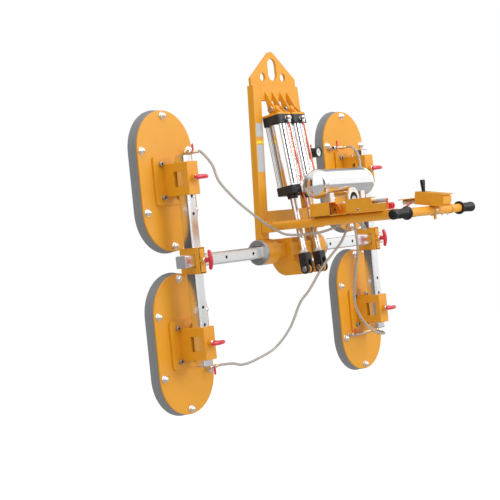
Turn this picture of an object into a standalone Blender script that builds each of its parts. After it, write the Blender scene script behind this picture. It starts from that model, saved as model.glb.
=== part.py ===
"""Tilting vacuum lifter for stone and glass panels, modelled in metres.

The lifter hangs from the slot of its lifting lug.  Two pneumatic cylinders turn a square
cross tube about the hub, and four vacuum pads ride on telescoping square tubes.
Every piece is laid out in the tilt frame: X along the hub, Y towards the panel, Z up,
with the zero on the tilt axis.  One empty then puts the lifting eye at the world origin.
"""
import math

import bpy
import bmesh
from mathutils import Matrix, Vector

# Clearances
GAP = 0.0003
RUN = 0.0004
WELD = 0.001

# Square tubes
TUBE = 0.050
TUBE_WALL = 0.004
TUBE_ROUND = 0.006
HUB_TUBE = 0.060
HUB_ROUND = 0.008
PIN_HOLE = 0.014

# Hanging frame
EYE_HEIGHT = 0.832
FRAME_DEPTH = 0.032
UPRIGHT_WIDTH = 0.054
EYE_RISE = 0.122
HEAD_TOP = EYE_HEIGHT - EYE_RISE
HEAD_HEIGHT = 0.063
UPRIGHT_TOP_X = 0.1323
UPRIGHT_FOOT_X = 0.1790
UPRIGHT_FOOT_Z = 0.050
CROSS_MEMBER_Z = 0.142
CROSS_MEMBER_HEIGHT = 0.060
LUG_THICK = 0.012
LUG_HALF = 0.158
LUG_SHOULDER = 0.032
LUG_TOP_RADIUS = 0.030
LUG_TOP_MATERIAL = 0.028
EYE_RADIUS = 0.030
EYE_LENGTH = 0.098
LUG_HOLE_RADIUS = 0.0185
LUG_HOLE_X = 0.071
LUG_HOLE_RISE = 0.039

# Hub bearings
HOUSING_RADIUS = 0.054
HOUSING_INNER = 0.129
HOUSING_OUTER = 0.205
BUSH_RADIUS = 0.046
BUSH_FLANGE = 0.014

# Tilt cylinders
CYLINDER_X = 0.052
TOP_PIN_DROP = 0.106
TOP_PIN = Vector((0.0, -0.040, HEAD_TOP - TOP_PIN_DROP))
LEVER_PIN = Vector((0.0, -0.127, -0.090))
CYLINDER_PIN_RADIUS = 0.010
RIB_THICK = 0.008
RIB_PITCH = 0.050
RIB_TIP_Z = HEAD_TOP - 0.024
RIB_EYE = 0.019
CAP_SIZE = 0.093
CAP_ROUND = 0.010
EAR_THICK = 0.034
EAR_RADIUS = 0.019
BASE_START = 0.022
BASE_THICK = 0.009
TOP_CAP_LENGTH = 0.040
BARREL_LENGTH = 0.267
LOW_CAP_LENGTH = 0.036
GLAND_LENGTH = 0.018
GLAND_RADIUS = 0.0225
BARREL_RADIUS = 0.043
BORE_RADIUS = 0.040
TIE_ROD_RADIUS = 0.005
TIE_ROD_PITCH = 0.072
ROD_RADIUS = 0.0125
PISTON_LENGTH = 0.018
NUT_RADIUS = 0.0175
NUT_LENGTH = 0.012
FORK_SIZE = 0.040
FORK_GAP = 0.020
FORK_BODY = 0.070

# Tilt levers
LEVER_THICK = 0.010
LEVER_TOP = 0.049
LEVER_HALF = 0.057
LEVER_EYE = 0.020
LEVER_DROP = 0.112

# Control arms and handle
ARM_RADIUS = 0.019
ARM_Z = 0.105
ARM_END_X = 0.145
SOCKET = 0.050
SOCKET_LENGTH = 0.046
HANDLE_Y = -0.742
HANDLE_RADIUS = 0.017
HANDLE_HALF = 0.306
GRIP_LENGTH = 0.110
GRIP_END = HANDLE_HALF + 0.004
GRIP_START = GRIP_END - GRIP_LENGTH
GRIP_RADIUS = 0.019
GRIP_FLANGE = 0.027

# Console
PLATE_THICK = 0.004
SHEET = 0.003
TANK_RADIUS = 0.061
TANK_HALF = 0.213
TANK_Y = -0.299
TANK_Z = 0.2605
TANK_LEG_X = 0.115
ENCLOSURE_BACK = -0.273
ENCLOSURE_SPLIT = -0.371
ENCLOSURE_FRONT = -0.452
ENCLOSURE_TOP = 0.180
ENCLOSURE_WIDTH = 0.060
TRAY_BACK = -0.455
TRAY_SPLIT = -0.577
TRAY_FRONT = -0.606
TRAY_TOP = 0.180
TRAY_LOW_TOP = 0.155
CONSOLE_LEFT = 0.195
SILENCER_RADIUS = 0.009
SILENCER_REACH = 0.016
SLIDE_WIDTH = 0.026
SLIDE_LENGTH = 0.034
SLIDE_TRAVEL = 0.010
SLIDE_X = 0.046
SLIDE_Z = 0.141
SLIDE_STEM_RADIUS = 0.004
GENERATOR_RADIUS = 0.039
GENERATOR_BORE = 0.019
GENERATOR_BODY = 0.026
GENERATOR_FLANGE = 0.009
GENERATOR_DEPTH = 0.0165
GENERATOR_X = 0.010
GENERATOR_Z = 0.2076
BOX_HALF = 0.037
BOX_LENGTH = 0.135
BOX_HEIGHT = 0.051
BOX_TILT = math.radians(9.5)
PADDLE_LENGTH = 0.047
PADDLE_WIDTH = 0.021
BOX_LIP = 0.006
BOX_VALVE_HALF = 0.020
BOX_VALVE_DEPTH = 0.048
BOX_VALVE_HEIGHT = 0.030
SADDLE_WIDTH = 0.022
PADDLE_SLOT = 0.008
PADDLE_SWING = 0.022
GAUGE_X = 0.180
GAUGE_Z = 0.411
GAUGE_RADIUS = 0.021

# Cross tube, columns and pads
CROSS_HALF = 0.710
COLUMN_X = 0.6336
COLUMN_HALF = 0.420
CROSS_HOLES = (0.280, 0.457)
COLUMN_HOLES = (0.187, 0.257)
CLAMP_WIDTH = 0.040
CLAMP_WEB = 0.020
CLAMP_ARM = 0.0275
CLAMP_BACK = 0.055
PAD_Z = 0.330
PAD_RADIUS = 0.162
PAD_STRAIGHT = 0.123
PAD_FRONT = 0.0925
PAD_THICK = 0.008
SEAL_BACK = 0.142
SEAL_LIP = 0.168
SEAL_BORE = 0.112
NUT_RING = 0.1405
ACORN_RADIUS = 0.012
SLEEVE_WIDTH = 0.066
SLEEVE_FRONT = -0.044
SLEEVE_HEIGHT = 0.132
SLEEVE_WINDOW = 0.060
SLEEVE_BASE_HALF = 0.086
SLEEVE_BASE_HEIGHT = 0.196
SLEEVE_BOLT_X = 0.046
SLEEVE_BOLT_Z = 0.067
BOSS_RADIUS = 0.015
BOSS_LENGTH = 0.014
PIN_RADIUS = 0.0065
PIN_STEM = 0.030
T_BAR_RADIUS = 0.010
T_BAR_LENGTH = 0.076

# Pad valves, vacuum hoses and air tubes
VALVE_X = 0.118
VALVE_Y = 0.0625
VALVE_RADIUS = 0.009
VALVE_LEVER = 0.032
LEVER_WIDTH = 0.011
ROW_END_LEFT = 0.150
ROW_END_UPPER_RIGHT = -0.045
ROW_END_LOWER_RIGHT = 0.040
BARB_LENGTH = 0.014
HOSE_RADIUS = 0.0055
HOSE_SPACING = 5.0
HOSE_LEAD = 0.020
BARB_Y = -0.300
CONSOLE_BARBS = {"upper_left": 0.000, "lower_left": 0.040, "lower_right": 0.080,
                 "upper_right": 0.118}
AIR_TUBE_RADIUS = 0.004
AIR_TUBE_X = 0.012
AIR_TUBE_STAND = 0.016
AIR_FITTING = 0.012

# Paint and metal, as the photograph shows them
COLOURS = {
    "orange_paint": ((0.86, 0.42, 0.05), 0.38, 0.0),
    "zinc_tube": ((0.80, 0.81, 0.83), 0.22, 1.0),
    "polished_steel": ((0.88, 0.88, 0.89), 0.12, 1.0),
    "black_cast": ((0.03, 0.03, 0.035), 0.45, 0.0),
    "grey_rubber": ((0.30, 0.31, 0.32), 0.75, 0.0),
    "black_grip": ((0.025, 0.025, 0.028), 0.60, 0.0),
    "red_plastic": ((0.72, 0.02, 0.05), 0.35, 0.0),
    "clear_hose": ((0.62, 0.60, 0.55), 0.40, 0.0),
    "orange_tube": ((0.90, 0.20, 0.04), 0.40, 0.0),
    "white_flange": ((0.85, 0.85, 0.84), 0.40, 0.0),
}

for old in list(bpy.data.objects):
    bpy.data.objects.remove(old, do_unlink=True)
lifter = bpy.data.collections.new("tilting_vacuum_lifter")
bpy.context.scene.collection.children.link(lifter)
tilt_axis = bpy.data.objects.new("tilt_axis", None)
tilt_axis.location = (0, 0, -EYE_HEIGHT)
lifter.objects.link(tilt_axis)


def material(name):
    """A Principled material in the colour table's paint, metal or rubber."""
    if name in bpy.data.materials:
        return bpy.data.materials[name]
    colour, roughness, metallic = COLOURS[name]
    made = bpy.data.materials.new(name)
    made.use_nodes = True
    shader = made.node_tree.nodes["Principled BSDF"]
    shader.inputs["Base Color"].default_value = (*colour, 1.0)
    shader.inputs["Roughness"].default_value = roughness
    shader.inputs["Metallic"].default_value = metallic
    return made


def baked(obj):
    """The object as one welded mesh, its modifiers or curve worked out."""
    bpy.context.view_layer.update()
    graph = bpy.context.evaluated_depsgraph_get()
    mesh = bpy.data.meshes.new_from_object(obj.evaluated_get(graph))
    mesh.transform(obj.matrix_world)
    work = bmesh.new()
    work.from_mesh(mesh)
    bmesh.ops.remove_doubles(work, verts=work.verts, dist=1e-6)
    bmesh.ops.recalc_face_normals(work, faces=work.faces)
    work.to_mesh(mesh)
    work.free()
    bpy.data.objects.remove(obj, do_unlink=True)
    result = bpy.data.objects.new("piece", mesh)
    bpy.context.scene.collection.objects.link(result)
    return result


def moved(obj, matrix):
    """The piece carried by a matrix."""
    obj.data.transform(matrix)
    return obj


def shifted(obj, x=0.0, y=0.0, z=0.0):
    """The piece moved along the axes."""
    return moved(obj, Matrix.Translation((x, y, z)))


def boolean(obj, tool, operation):
    """One exact Boolean, worked out at once."""
    step = obj.modifiers.new(operation, "BOOLEAN")
    step.operation = operation
    step.solver = "EXACT"
    step.object = tool
    result = baked(obj)
    bpy.data.objects.remove(tool, do_unlink=True)
    return result


def union(obj, *others):
    """The pieces welded into one body."""
    for other in others:
        obj = boolean(obj, other, "UNION")
    return obj


def cut(obj, *tools):
    """The piece with each tool's shape taken out."""
    for tool in tools:
        obj = boolean(obj, tool, "DIFFERENCE")
    return obj


def block(low, high, rounding=0.0, segments=1):
    """A box between two corners, its edges bevelled by the rounding."""
    work = bmesh.new()
    bmesh.ops.create_cube(work, size=1.0)
    for vert in work.verts:
        for axis in range(3):
            vert.co[axis] = low[axis] if vert.co[axis] < 0 else high[axis]
    mesh = bpy.data.meshes.new("block")
    work.to_mesh(mesh)
    work.free()
    obj = bpy.data.objects.new("block", mesh)
    bpy.context.scene.collection.objects.link(obj)
    if rounding:
        bevel = obj.modifiers.new("Bevel", "BEVEL")
        bevel.width = rounding
        bevel.segments = segments
    return baked(obj)


def arc(u, v, radius, start, end, steps):
    """Points on an arc, with the angles in degrees."""
    points = []
    for i in range(steps + 1):
        angle = math.radians(start + (end - start) * i / steps)
        points.append((u + radius * math.cos(angle), v + radius * math.sin(angle)))
    return points


def circle(u, v, radius, steps=24):
    """A whole circle, without its closing point."""
    return arc(u, v, radius, 0, 360, steps)[:-1]


def rounded(u, v, width, height, radius, steps=2):
    """A rectangle with round corners, centred at u, v."""
    points = []
    for du, dv, start in ((1, 1, 0), (-1, 1, 90), (-1, -1, 180), (1, -1, 270)):
        centre_u = u + du * (width / 2 - radius)
        centre_v = v + dv * (height / 2 - radius)
        points += arc(centre_u, centre_v, radius, start, start + 90, steps)
    return points


def racetrack(u, v, radius, straight, steps=12):
    """Two half circles joined by straight sides along v."""
    top = arc(u, v + straight, radius, 0, 180, steps)
    return top + arc(u, v - straight, radius, 180, 360, steps)


AXIS_TURN = {
    "X": Matrix(((0, 0, 1, 0), (1, 0, 0, 0), (0, 1, 0, 0), (0, 0, 0, 1))),
    "Y": Matrix(((1, 0, 0, 0), (0, 0, -1, 0), (0, 1, 0, 0), (0, 0, 0, 1))),
    "Z": Matrix.Identity(4),
}


def extruded(outlines, start, end, axis="X"):
    """Flat outlines carried from start to end along an axis; inner outlines are holes.

    Along X an outline is drawn in Y and Z, along Y in X and Z, along Z in X and Y.
    """
    curve = bpy.data.curves.new("outline", "CURVE")
    curve.dimensions = "2D"
    curve.fill_mode = "BOTH"
    curve.extrude = abs(end - start) / 2
    for points in outlines:
        spline = curve.splines.new("POLY")
        spline.points.add(len(points) - 1)
        for place, (u, v) in zip(spline.points, points):
            place.co = (u, v, 0, 1)
        spline.use_cyclic_u = True
    obj = bpy.data.objects.new("outline", curve)
    bpy.context.scene.collection.objects.link(obj)
    middle = (start + end) / 2
    place = AXIS_TURN[axis].copy()
    along = {"X": (middle, 0, 0), "Y": (0, middle, 0), "Z": (0, 0, middle)}[axis]
    place.translation = along
    obj.matrix_world = place
    return baked(obj)


def turned(profile, centre, axis="Z", steps=24, closed=False):
    """A profile of (radius, height) points turned about an axis through the centre."""
    mesh = bpy.data.meshes.new("profile")
    edges = [(i, i + 1) for i in range(len(profile) - 1)]
    if closed:
        edges.append((len(profile) - 1, 0))
    mesh.from_pydata([(r, 0, h) for r, h in profile], edges, [])
    obj = bpy.data.objects.new("profile", mesh)
    bpy.context.scene.collection.objects.link(obj)
    screw = obj.modifiers.new("Screw", "SCREW")
    screw.steps = steps
    screw.render_steps = steps
    screw.use_merge_vertices = True
    screw.merge_threshold = 1e-6
    place = AXIS_TURN[axis].copy()
    place.translation = centre
    obj.matrix_world = place
    return baked(obj)


def rod(centre, radius, start, end, axis="Z", steps=16):
    """A plain cylinder along an axis, from start to end past the centre."""
    return turned([(0, end), (radius, end), (radius, start), (0, start)], centre, axis, steps)


def pipe(points, radius, resolution=2):
    """A round bar or hose along a list of points."""
    curve = bpy.data.curves.new("pipe", "CURVE")
    curve.dimensions = "3D"
    curve.bevel_depth = radius
    curve.bevel_resolution = resolution
    curve.use_fill_caps = True
    spline = curve.splines.new("POLY")
    spline.points.add(len(points) - 1)
    for place, point in zip(spline.points, points):
        place.co = (*point, 1)
    obj = bpy.data.objects.new("pipe", curve)
    bpy.context.scene.collection.objects.link(obj)
    return baked(obj)


def smooth_route(points, spacing):
    """Points at an even spacing on a smooth curve through the route's own points."""
    places = [Vector(point) for point in points]
    places = [2 * places[0] - places[1]] + places + [2 * places[-1] - places[-2]]
    fine = []
    for a, b, c, d in zip(places, places[1:], places[2:], places[3:]):
        for i in range(20):
            t = i / 20
            fine.append(0.5 * (2 * b + (c - a) * t + (2 * a - 5 * b + 4 * c - d) * t * t
                               + (3 * b - a - 3 * c + d) * t ** 3))
    fine.append(places[-2])
    length = sum((q - p).length for p, q in zip(fine, fine[1:]))
    count = max(2, round(length / spacing))
    even = [fine[0]]
    walked = 0.0
    for p, q in zip(fine, fine[1:]):
        walked += (q - p).length
        if walked >= length * len(even) / count and len(even) < count:
            even.append(q)
    even.append(fine[-1])
    return even


def node(name, obj, finish, pivot=(0, 0, 0)):
    """Name a finished piece, give it its material, and put its origin on its pivot."""
    obj.data.transform(Matrix.Translation(-Vector(pivot)))
    obj.name = name
    obj.data.name = name
    obj.data.materials.clear()
    obj.data.materials.append(material(finish))
    obj.parent = tilt_axis
    obj.location = pivot
    bpy.context.scene.collection.objects.unlink(obj)
    lifter.objects.link(obj)
    obj.data.shade_smooth()
    obj.data.set_sharp_from_angle(angle=math.radians(35))
    return obj


HEAD_BOTTOM = HEAD_TOP - HEAD_HEIGHT
UPRIGHT_SLOPE = (UPRIGHT_FOOT_X - UPRIGHT_TOP_X) / (HEAD_TOP - UPRIGHT_FOOT_Z)
SIDES = (("left", -1), ("right", 1))


def upright_x(z):
    """The middle of an upright at a height, measured out from the centre plane."""
    return UPRIGHT_TOP_X + UPRIGHT_SLOPE * (HEAD_TOP - z)


def between_uprights(low, high):
    """A bar across the frame whose slanted ends butt against both uprights."""
    outline = []
    for z, side in ((low, -1), (low, 1), (high, 1), (high, -1)):
        outline.append((side * (upright_x(z) - UPRIGHT_WIDTH / 2 - GAP), z))
    return extruded([outline], -FRAME_DEPTH / 2, FRAME_DEPTH / 2, "Y")


def lifting_lug():
    """The plate that the hook holds: a wide foot, two sloping shoulders and a round top."""
    foot = HEAD_TOP + GAP
    shoulder = foot + LUG_SHOULDER
    top = EYE_HEIGHT + LUG_TOP_MATERIAL - LUG_TOP_RADIUS
    reach = math.hypot(LUG_HALF, top - shoulder)
    climb = math.degrees(math.atan2(top - shoulder, LUG_HALF) + math.asin(LUG_TOP_RADIUS / reach))
    outline = [(-LUG_HALF, foot), (LUG_HALF, foot), (LUG_HALF, shoulder)]
    outline += arc(0, top, LUG_TOP_RADIUS, 90 - climb, 90 + climb, 8)
    outline += [(-LUG_HALF, shoulder)]
    half_slot = EYE_LENGTH / 2 - EYE_RADIUS
    slot = racetrack(0, EYE_HEIGHT - EYE_RADIUS - half_slot, EYE_RADIUS, half_slot, 10)
    holes = [circle(side * LUG_HOLE_X, HEAD_TOP + LUG_HOLE_RISE, LUG_HOLE_RADIUS, 16)
             for _, side in SIDES]
    lug = extruded([outline, slot] + holes, -LUG_THICK / 2, LUG_THICK / 2, "Y")
    return node("lifting_lug", lug, "orange_paint")


def rib_outline():
    """One rib of the top bracket: a slim triangle on the head that ends round the pin."""
    face = -FRAME_DEPTH / 2 + WELD
    y, z = TOP_PIN.y, TOP_PIN.z
    outline = [(face, HEAD_BOTTOM + 2 * WELD), (face, RIB_TIP_Z), (face - WELD, RIB_TIP_Z)]
    return outline + arc(y, z, RIB_EYE, 165, 380, 10)


def head_beam():
    """The head of the frame with four ribs and the two pins that carry the cylinders."""
    beam = between_uprights(HEAD_BOTTOM, HEAD_TOP)
    for _, side in SIDES:
        middle = side * CYLINDER_X
        for offset in (-RIB_PITCH / 2, RIB_PITCH / 2):
            x = middle + offset
            beam = union(beam, extruded([rib_outline()], x - RIB_THICK / 2, x + RIB_THICK / 2))
        half_pin = RIB_PITCH / 2 + RIB_THICK / 2 + 0.004
        pin = rod((middle, TOP_PIN.y, TOP_PIN.z), CYLINDER_PIN_RADIUS, -half_pin, half_pin, "X")
        beam = union(beam, pin)
    return node("head_beam", beam, "orange_paint")


def uprights():
    """Two flat bars that splay out from the head and stand on the bearing housings."""
    for name, side in SIDES:
        outline = []
        for z, edge in ((0, -1), (0, 1), (HEAD_TOP, 1), (HEAD_TOP, -1)):
            outline.append((side * upright_x(z) + edge * UPRIGHT_WIDTH / 2, z))
        bar = extruded([outline], -FRAME_DEPTH / 2, FRAME_DEPTH / 2, "Y")
        saddle = rod((0, 0, 0), HOUSING_RADIUS + 2 * GAP, -0.5, 0.5, "X", 48)
        node("upright_" + name, cut(bar, saddle), "orange_paint")


def cross_member():
    """The flat bar that ties the uprights above the hub."""
    low = CROSS_MEMBER_Z - CROSS_MEMBER_HEIGHT / 2
    return node("cross_member", between_uprights(low, low + CROSS_MEMBER_HEIGHT), "orange_paint")


def bearings():
    """A housing under each upright and the flanged bush that turns in it with the hub tube."""
    for name, side in SIDES:
        chamfer = 0.003
        bore = BUSH_RADIUS + RUN
        ring = [(HOUSING_RADIUS - chamfer, HOUSING_INNER), (HOUSING_RADIUS, HOUSING_INNER + chamfer),
                (HOUSING_RADIUS, HOUSING_OUTER), (bore, HOUSING_OUTER), (bore, HOUSING_INNER)]
        housing = turned(ring, (0, 0, 0), "X", 48, True)
        start = HOUSING_OUTER + GAP
        end = start + BUSH_FLANGE
        plug = [(0, HOUSING_INNER), (BUSH_RADIUS, HOUSING_INNER), (BUSH_RADIUS, start),
                (HOUSING_RADIUS, start), (HOUSING_RADIUS, end), (0, end)]
        bush = turned(plug, (0, 0, 0), "X", 48)
        square = rounded(0, 0, HUB_TUBE + 2 * GAP, HUB_TUBE + 2 * GAP, HUB_ROUND + GAP)
        bush = cut(bush, extruded([square], 0, 1.0))
        if side < 0:
            housing = moved(housing, Matrix.Rotation(math.pi, 4, "Z"))
            bush = moved(bush, Matrix.Rotation(math.pi, 4, "Z"))
        node("bearing_housing_" + name, housing, "orange_paint")
        node("bearing_bush_" + name, bush, "polished_steel")


def hub_tube():
    """The square tube on the tilt axis that joins both bushes and both levers."""
    half = HOUSING_OUTER + BUSH_FLANGE + 2 * GAP
    inner = TUBE + 2 * GAP
    outlines = [rounded(0, 0, HUB_TUBE, HUB_TUBE, HUB_ROUND),
                rounded(0, 0, inner, inner, TUBE_ROUND + GAP)]
    return node("hub_tube", extruded(outlines, -half, half), "orange_paint")


def square_tube(half, axis):
    """A hollow square tube, plugged at both ends."""
    bore = TUBE - 2 * TUBE_WALL
    outline = rounded(0, 0, TUBE, TUBE, TUBE_ROUND)
    tube = extruded([outline], -half, half, axis)
    inner = rounded(0, 0, bore, bore, TUBE_ROUND - TUBE_WALL)
    return cut(tube, extruded([inner], -half + TUBE_WALL, half - TUBE_WALL, axis))


def cross_tube():
    """The long square tube through the hub, with the holes that the column pins drop into."""
    tube = square_tube(CROSS_HALF, "X")
    for place in CROSS_HOLES + (COLUMN_X,):
        for _, side in SIDES:
            tube = cut(tube, rod((side * place, -TUBE / 2, 0), PIN_HOLE / 2, -TUBE_WALL * 2,
                                 TUBE_WALL * 2, "Y", 12))
    return node("cross_tube", tube, "zinc_tube")


def tilt_levers():
    """Two plates welded on the hub tube, each with a forward arm to its piston rod."""
    y, z = LEVER_PIN.y, LEVER_PIN.z
    root_y = -LEVER_HALF
    heel_y = 0.052
    outline = [(LEVER_HALF, LEVER_TOP), (-LEVER_HALF, LEVER_TOP), (root_y, -0.032),
               (root_y - 0.006, -0.050), (root_y - 0.023, -0.060)]
    outline += arc(y, z, LEVER_EYE, 80, 260, 8)
    outline += [(-0.011, -LEVER_DROP), (0.010, -LEVER_DROP + 0.006), (0.026, -LEVER_DROP + 0.016),
                (0.041, -LEVER_DROP + 0.033), (heel_y, -LEVER_DROP + 0.051)]
    square = rounded(0, 0, HUB_TUBE + 2 * GAP, HUB_TUBE + 2 * GAP, HUB_ROUND + GAP)
    for name, side in SIDES:
        x = side * CYLINDER_X
        plate = extruded([outline, square], x - LEVER_THICK / 2, x + LEVER_THICK / 2)
        node("tilt_lever_" + name, plate, "orange_paint")


# Distances down a cylinder's axis from its top pin
CAP_START = BASE_START + BASE_THICK
CAP_END = CAP_START + TOP_CAP_LENGTH
LOW_CAP_START = CAP_END + BARREL_LENGTH
LOW_CAP_END = LOW_CAP_START + LOW_CAP_LENGTH
GLAND_END = LOW_CAP_END + GLAND_LENGTH
PIN_DISTANCE = (LEVER_PIN - TOP_PIN).length
FORK_START = PIN_DISTANCE + FORK_SIZE / 2 - FORK_BODY - FORK_SIZE / 2
REST_SWING = math.asin((LEVER_PIN.y - TOP_PIN.y) / PIN_DISTANCE)
RETRACTED = 0.2198


def on_cylinder(obj, side):
    """A piece drawn about its top pin, hanging down, carried to its place."""
    place = Matrix.Translation(TOP_PIN + Vector((side * CYLINDER_X, 0, 0)))
    return moved(obj, place @ Matrix.Rotation(REST_SWING, 4, "X"))


def cap_outline():
    """A cylinder cap's square, drawn in X and Y."""
    return rounded(0, 0, CAP_SIZE, CAP_SIZE, CAP_ROUND)


def tilt_cylinder(name, side):
    """One pneumatic cylinder: rear ear, two caps, a hollow barrel and four tie rods."""
    body = extruded([cap_outline()], -CAP_START, -BASE_START, "Z")
    ear = arc(0, 0, EAR_RADIUS, 0, 180, 8) + [(-CAP_SIZE * 0.42, -BASE_START - WELD),
                                              (CAP_SIZE * 0.42, -BASE_START - WELD)]
    body = union(body, extruded([ear], -EAR_THICK / 2, EAR_THICK / 2))
    body = cut(body, rod((0, 0, 0), CYLINDER_PIN_RADIUS + RUN, -0.05, 0.05, "X"))
    cap = extruded([cap_outline()], -CAP_END, -CAP_START - GAP, "Z")
    neck = rod((0, 0, 0), GLAND_RADIUS, -CAP_START - WELD, -CAP_START + WELD, "Z")
    low_cap = extruded([cap_outline()], -LOW_CAP_END, -LOW_CAP_START, "Z")
    barrel = rod((0, 0, 0), BARREL_RADIUS, -LOW_CAP_START - WELD, -CAP_END + WELD, "Z", 24)
    gland = rod((0, 0, 0), GLAND_RADIUS, -GLAND_END, -LOW_CAP_END + WELD, "Z", 24)
    body = union(body, neck, cap, low_cap, barrel, gland)
    for _, u in SIDES:
        for _, v in SIDES:
            place = (u * TIE_ROD_PITCH / 2, v * TIE_ROD_PITCH / 2, 0)
            tie = rod(place, TIE_ROD_RADIUS, -LOW_CAP_START - WELD, -CAP_END + WELD, "Z", 8)
            body = union(body, tie)
    port = -(CAP_START + CAP_END) / 2
    front = CAP_SIZE / 2 + AIR_TUBE_STAND
    elbow = rod((AIR_TUBE_X, 0, port), 0.0075, CAP_SIZE / 2 - WELD, front + 0.0055, "Y", 10)
    drop = rod((AIR_TUBE_X, -front, port), 0.006, -AIR_FITTING, 0, "Z", 10)
    low_port = rod((AIR_TUBE_X - 0.004, 0, -(LOW_CAP_START + LOW_CAP_END) / 2), 0.0075,
                   CAP_SIZE / 2 - WELD, CAP_SIZE / 2 + 0.007, "Y", 10)
    body = union(body, elbow, drop, low_port)
    bore = [(0, -CAP_END + WELD), (BORE_RADIUS, -CAP_END + WELD), (BORE_RADIUS, -LOW_CAP_START - WELD),
            (ROD_RADIUS + RUN, -LOW_CAP_START - WELD), (ROD_RADIUS + RUN, -GLAND_END - WELD),
            (0, -GLAND_END - WELD)]
    body = cut(body, turned(bore, (0, 0, 0), "Z", 24))
    body = on_cylinder(body, side)
    return node("tilt_cylinder_" + name, body, "black_cast", TOP_PIN + Vector((side * CYLINDER_X, 0, 0)))


def piston_rod(name, side):
    """The rod with its piston, jam nut and fork, and the two stubs of the fork's pin."""
    piston_end = LOW_CAP_START - 0.004
    nut_start = FORK_START - NUT_LENGTH
    profile = [(0, -piston_end + PISTON_LENGTH), (BORE_RADIUS - RUN, -piston_end + PISTON_LENGTH),
               (BORE_RADIUS - RUN, -piston_end), (ROD_RADIUS, -piston_end),
               (ROD_RADIUS, -FORK_START - 0.010), (0, -FORK_START - 0.010)]
    shaft = turned(profile, (0, 0, 0), "Z", 24)
    nut = rod((0, 0, 0), NUT_RADIUS, -FORK_START - WELD, -nut_start, "Z", 6)
    fork = extruded([rounded(0, 0, FORK_SIZE, FORK_SIZE, 0.004, 1)],
                    -PIN_DISTANCE, -FORK_START, "Z")
    eye = rod((0, 0, -PIN_DISTANCE), FORK_SIZE / 2, -FORK_SIZE / 2, FORK_SIZE / 2, "X", 24)
    slot = block((-FORK_GAP / 2, -0.1, -PIN_DISTANCE - 0.1),
                 (FORK_GAP / 2, 0.1, -PIN_DISTANCE + FORK_SIZE))
    fork = cut(union(fork, eye), slot)
    shaft = union(shaft, nut, fork)
    for _, end in SIDES:
        outer = FORK_SIZE / 2 + 0.004
        inner = LEVER_THICK / 2 + GAP
        stub = rod((0, 0, -PIN_DISTANCE), CYLINDER_PIN_RADIUS, min(end * inner, end * outer),
                   max(end * inner, end * outer), "X", 16)
        shaft = union(shaft, stub)
    shaft = on_cylinder(shaft, side)
    return node("piston_rod_" + name, shaft, "polished_steel", TOP_PIN + Vector((side * CYLINDER_X, 0, 0)))


def control_arms():
    """Two round arms on square sockets that reach forward to the handle bar."""
    root_y = -FRAME_DEPTH / 2 - GAP
    for name, side in SIDES:
        x = side * upright_x(ARM_Z)
        tip = Vector((side * ARM_END_X, HANDLE_Y, ARM_Z))
        socket = block((x - SOCKET / 2, root_y - SOCKET_LENGTH, ARM_Z - SOCKET / 2),
                       (x + SOCKET / 2, root_y, ARM_Z + SOCKET / 2), 0.003)
        start = Vector((x, root_y - SOCKET_LENGTH + 0.010, ARM_Z))
        arm = union(socket, pipe([start, tip], ARM_RADIUS, 4))
        seat = rod((0, HANDLE_Y, ARM_Z), HANDLE_RADIUS + 2 * GAP, -0.5, 0.5, "X", 24)
        front = block((-0.5, HANDLE_Y - 0.2, 0), (0.5, HANDLE_Y, 0.3))
        node("control_arm_" + name, cut(arm, seat, front), "orange_paint")


def handle():
    """The bar that the operator holds, with a flanged grip on each end."""
    bar = rod((0, HANDLE_Y, ARM_Z), HANDLE_RADIUS, -HANDLE_HALF, HANDLE_HALF, "X", 24)
    node("handle_bar", bar, "orange_paint")
    bore = HANDLE_RADIUS + 2 * GAP
    profile = [(bore, GRIP_START), (GRIP_FLANGE, GRIP_START), (GRIP_FLANGE, GRIP_START + 0.008),
               (GRIP_RADIUS, GRIP_START + 0.015), (GRIP_RADIUS, GRIP_END - 0.020),
               (GRIP_RADIUS + 0.002, GRIP_END - 0.015), (GRIP_RADIUS + 0.002, GRIP_END - 0.003),
               (GRIP_RADIUS - 0.003, GRIP_END), (0, GRIP_END), (0, HANDLE_HALF + GAP),
               (bore, HANDLE_HALF + GAP), (bore, GRIP_START)]
    for name, side in SIDES:
        grip = turned(profile[:-1], (0, 0, 0), "X", 24, True)
        if side < 0:
            grip = moved(grip, Matrix.Rotation(math.pi, 4, "Z"))
        node("grip_" + name, shifted(grip, 0, HANDLE_Y, ARM_Z), "black_grip")


BOX_CENTRE = Vector((0, -0.7485, 0.151))
PADDLE_PIVOT = Vector((-0.012, -0.711, 0.150))


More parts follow.
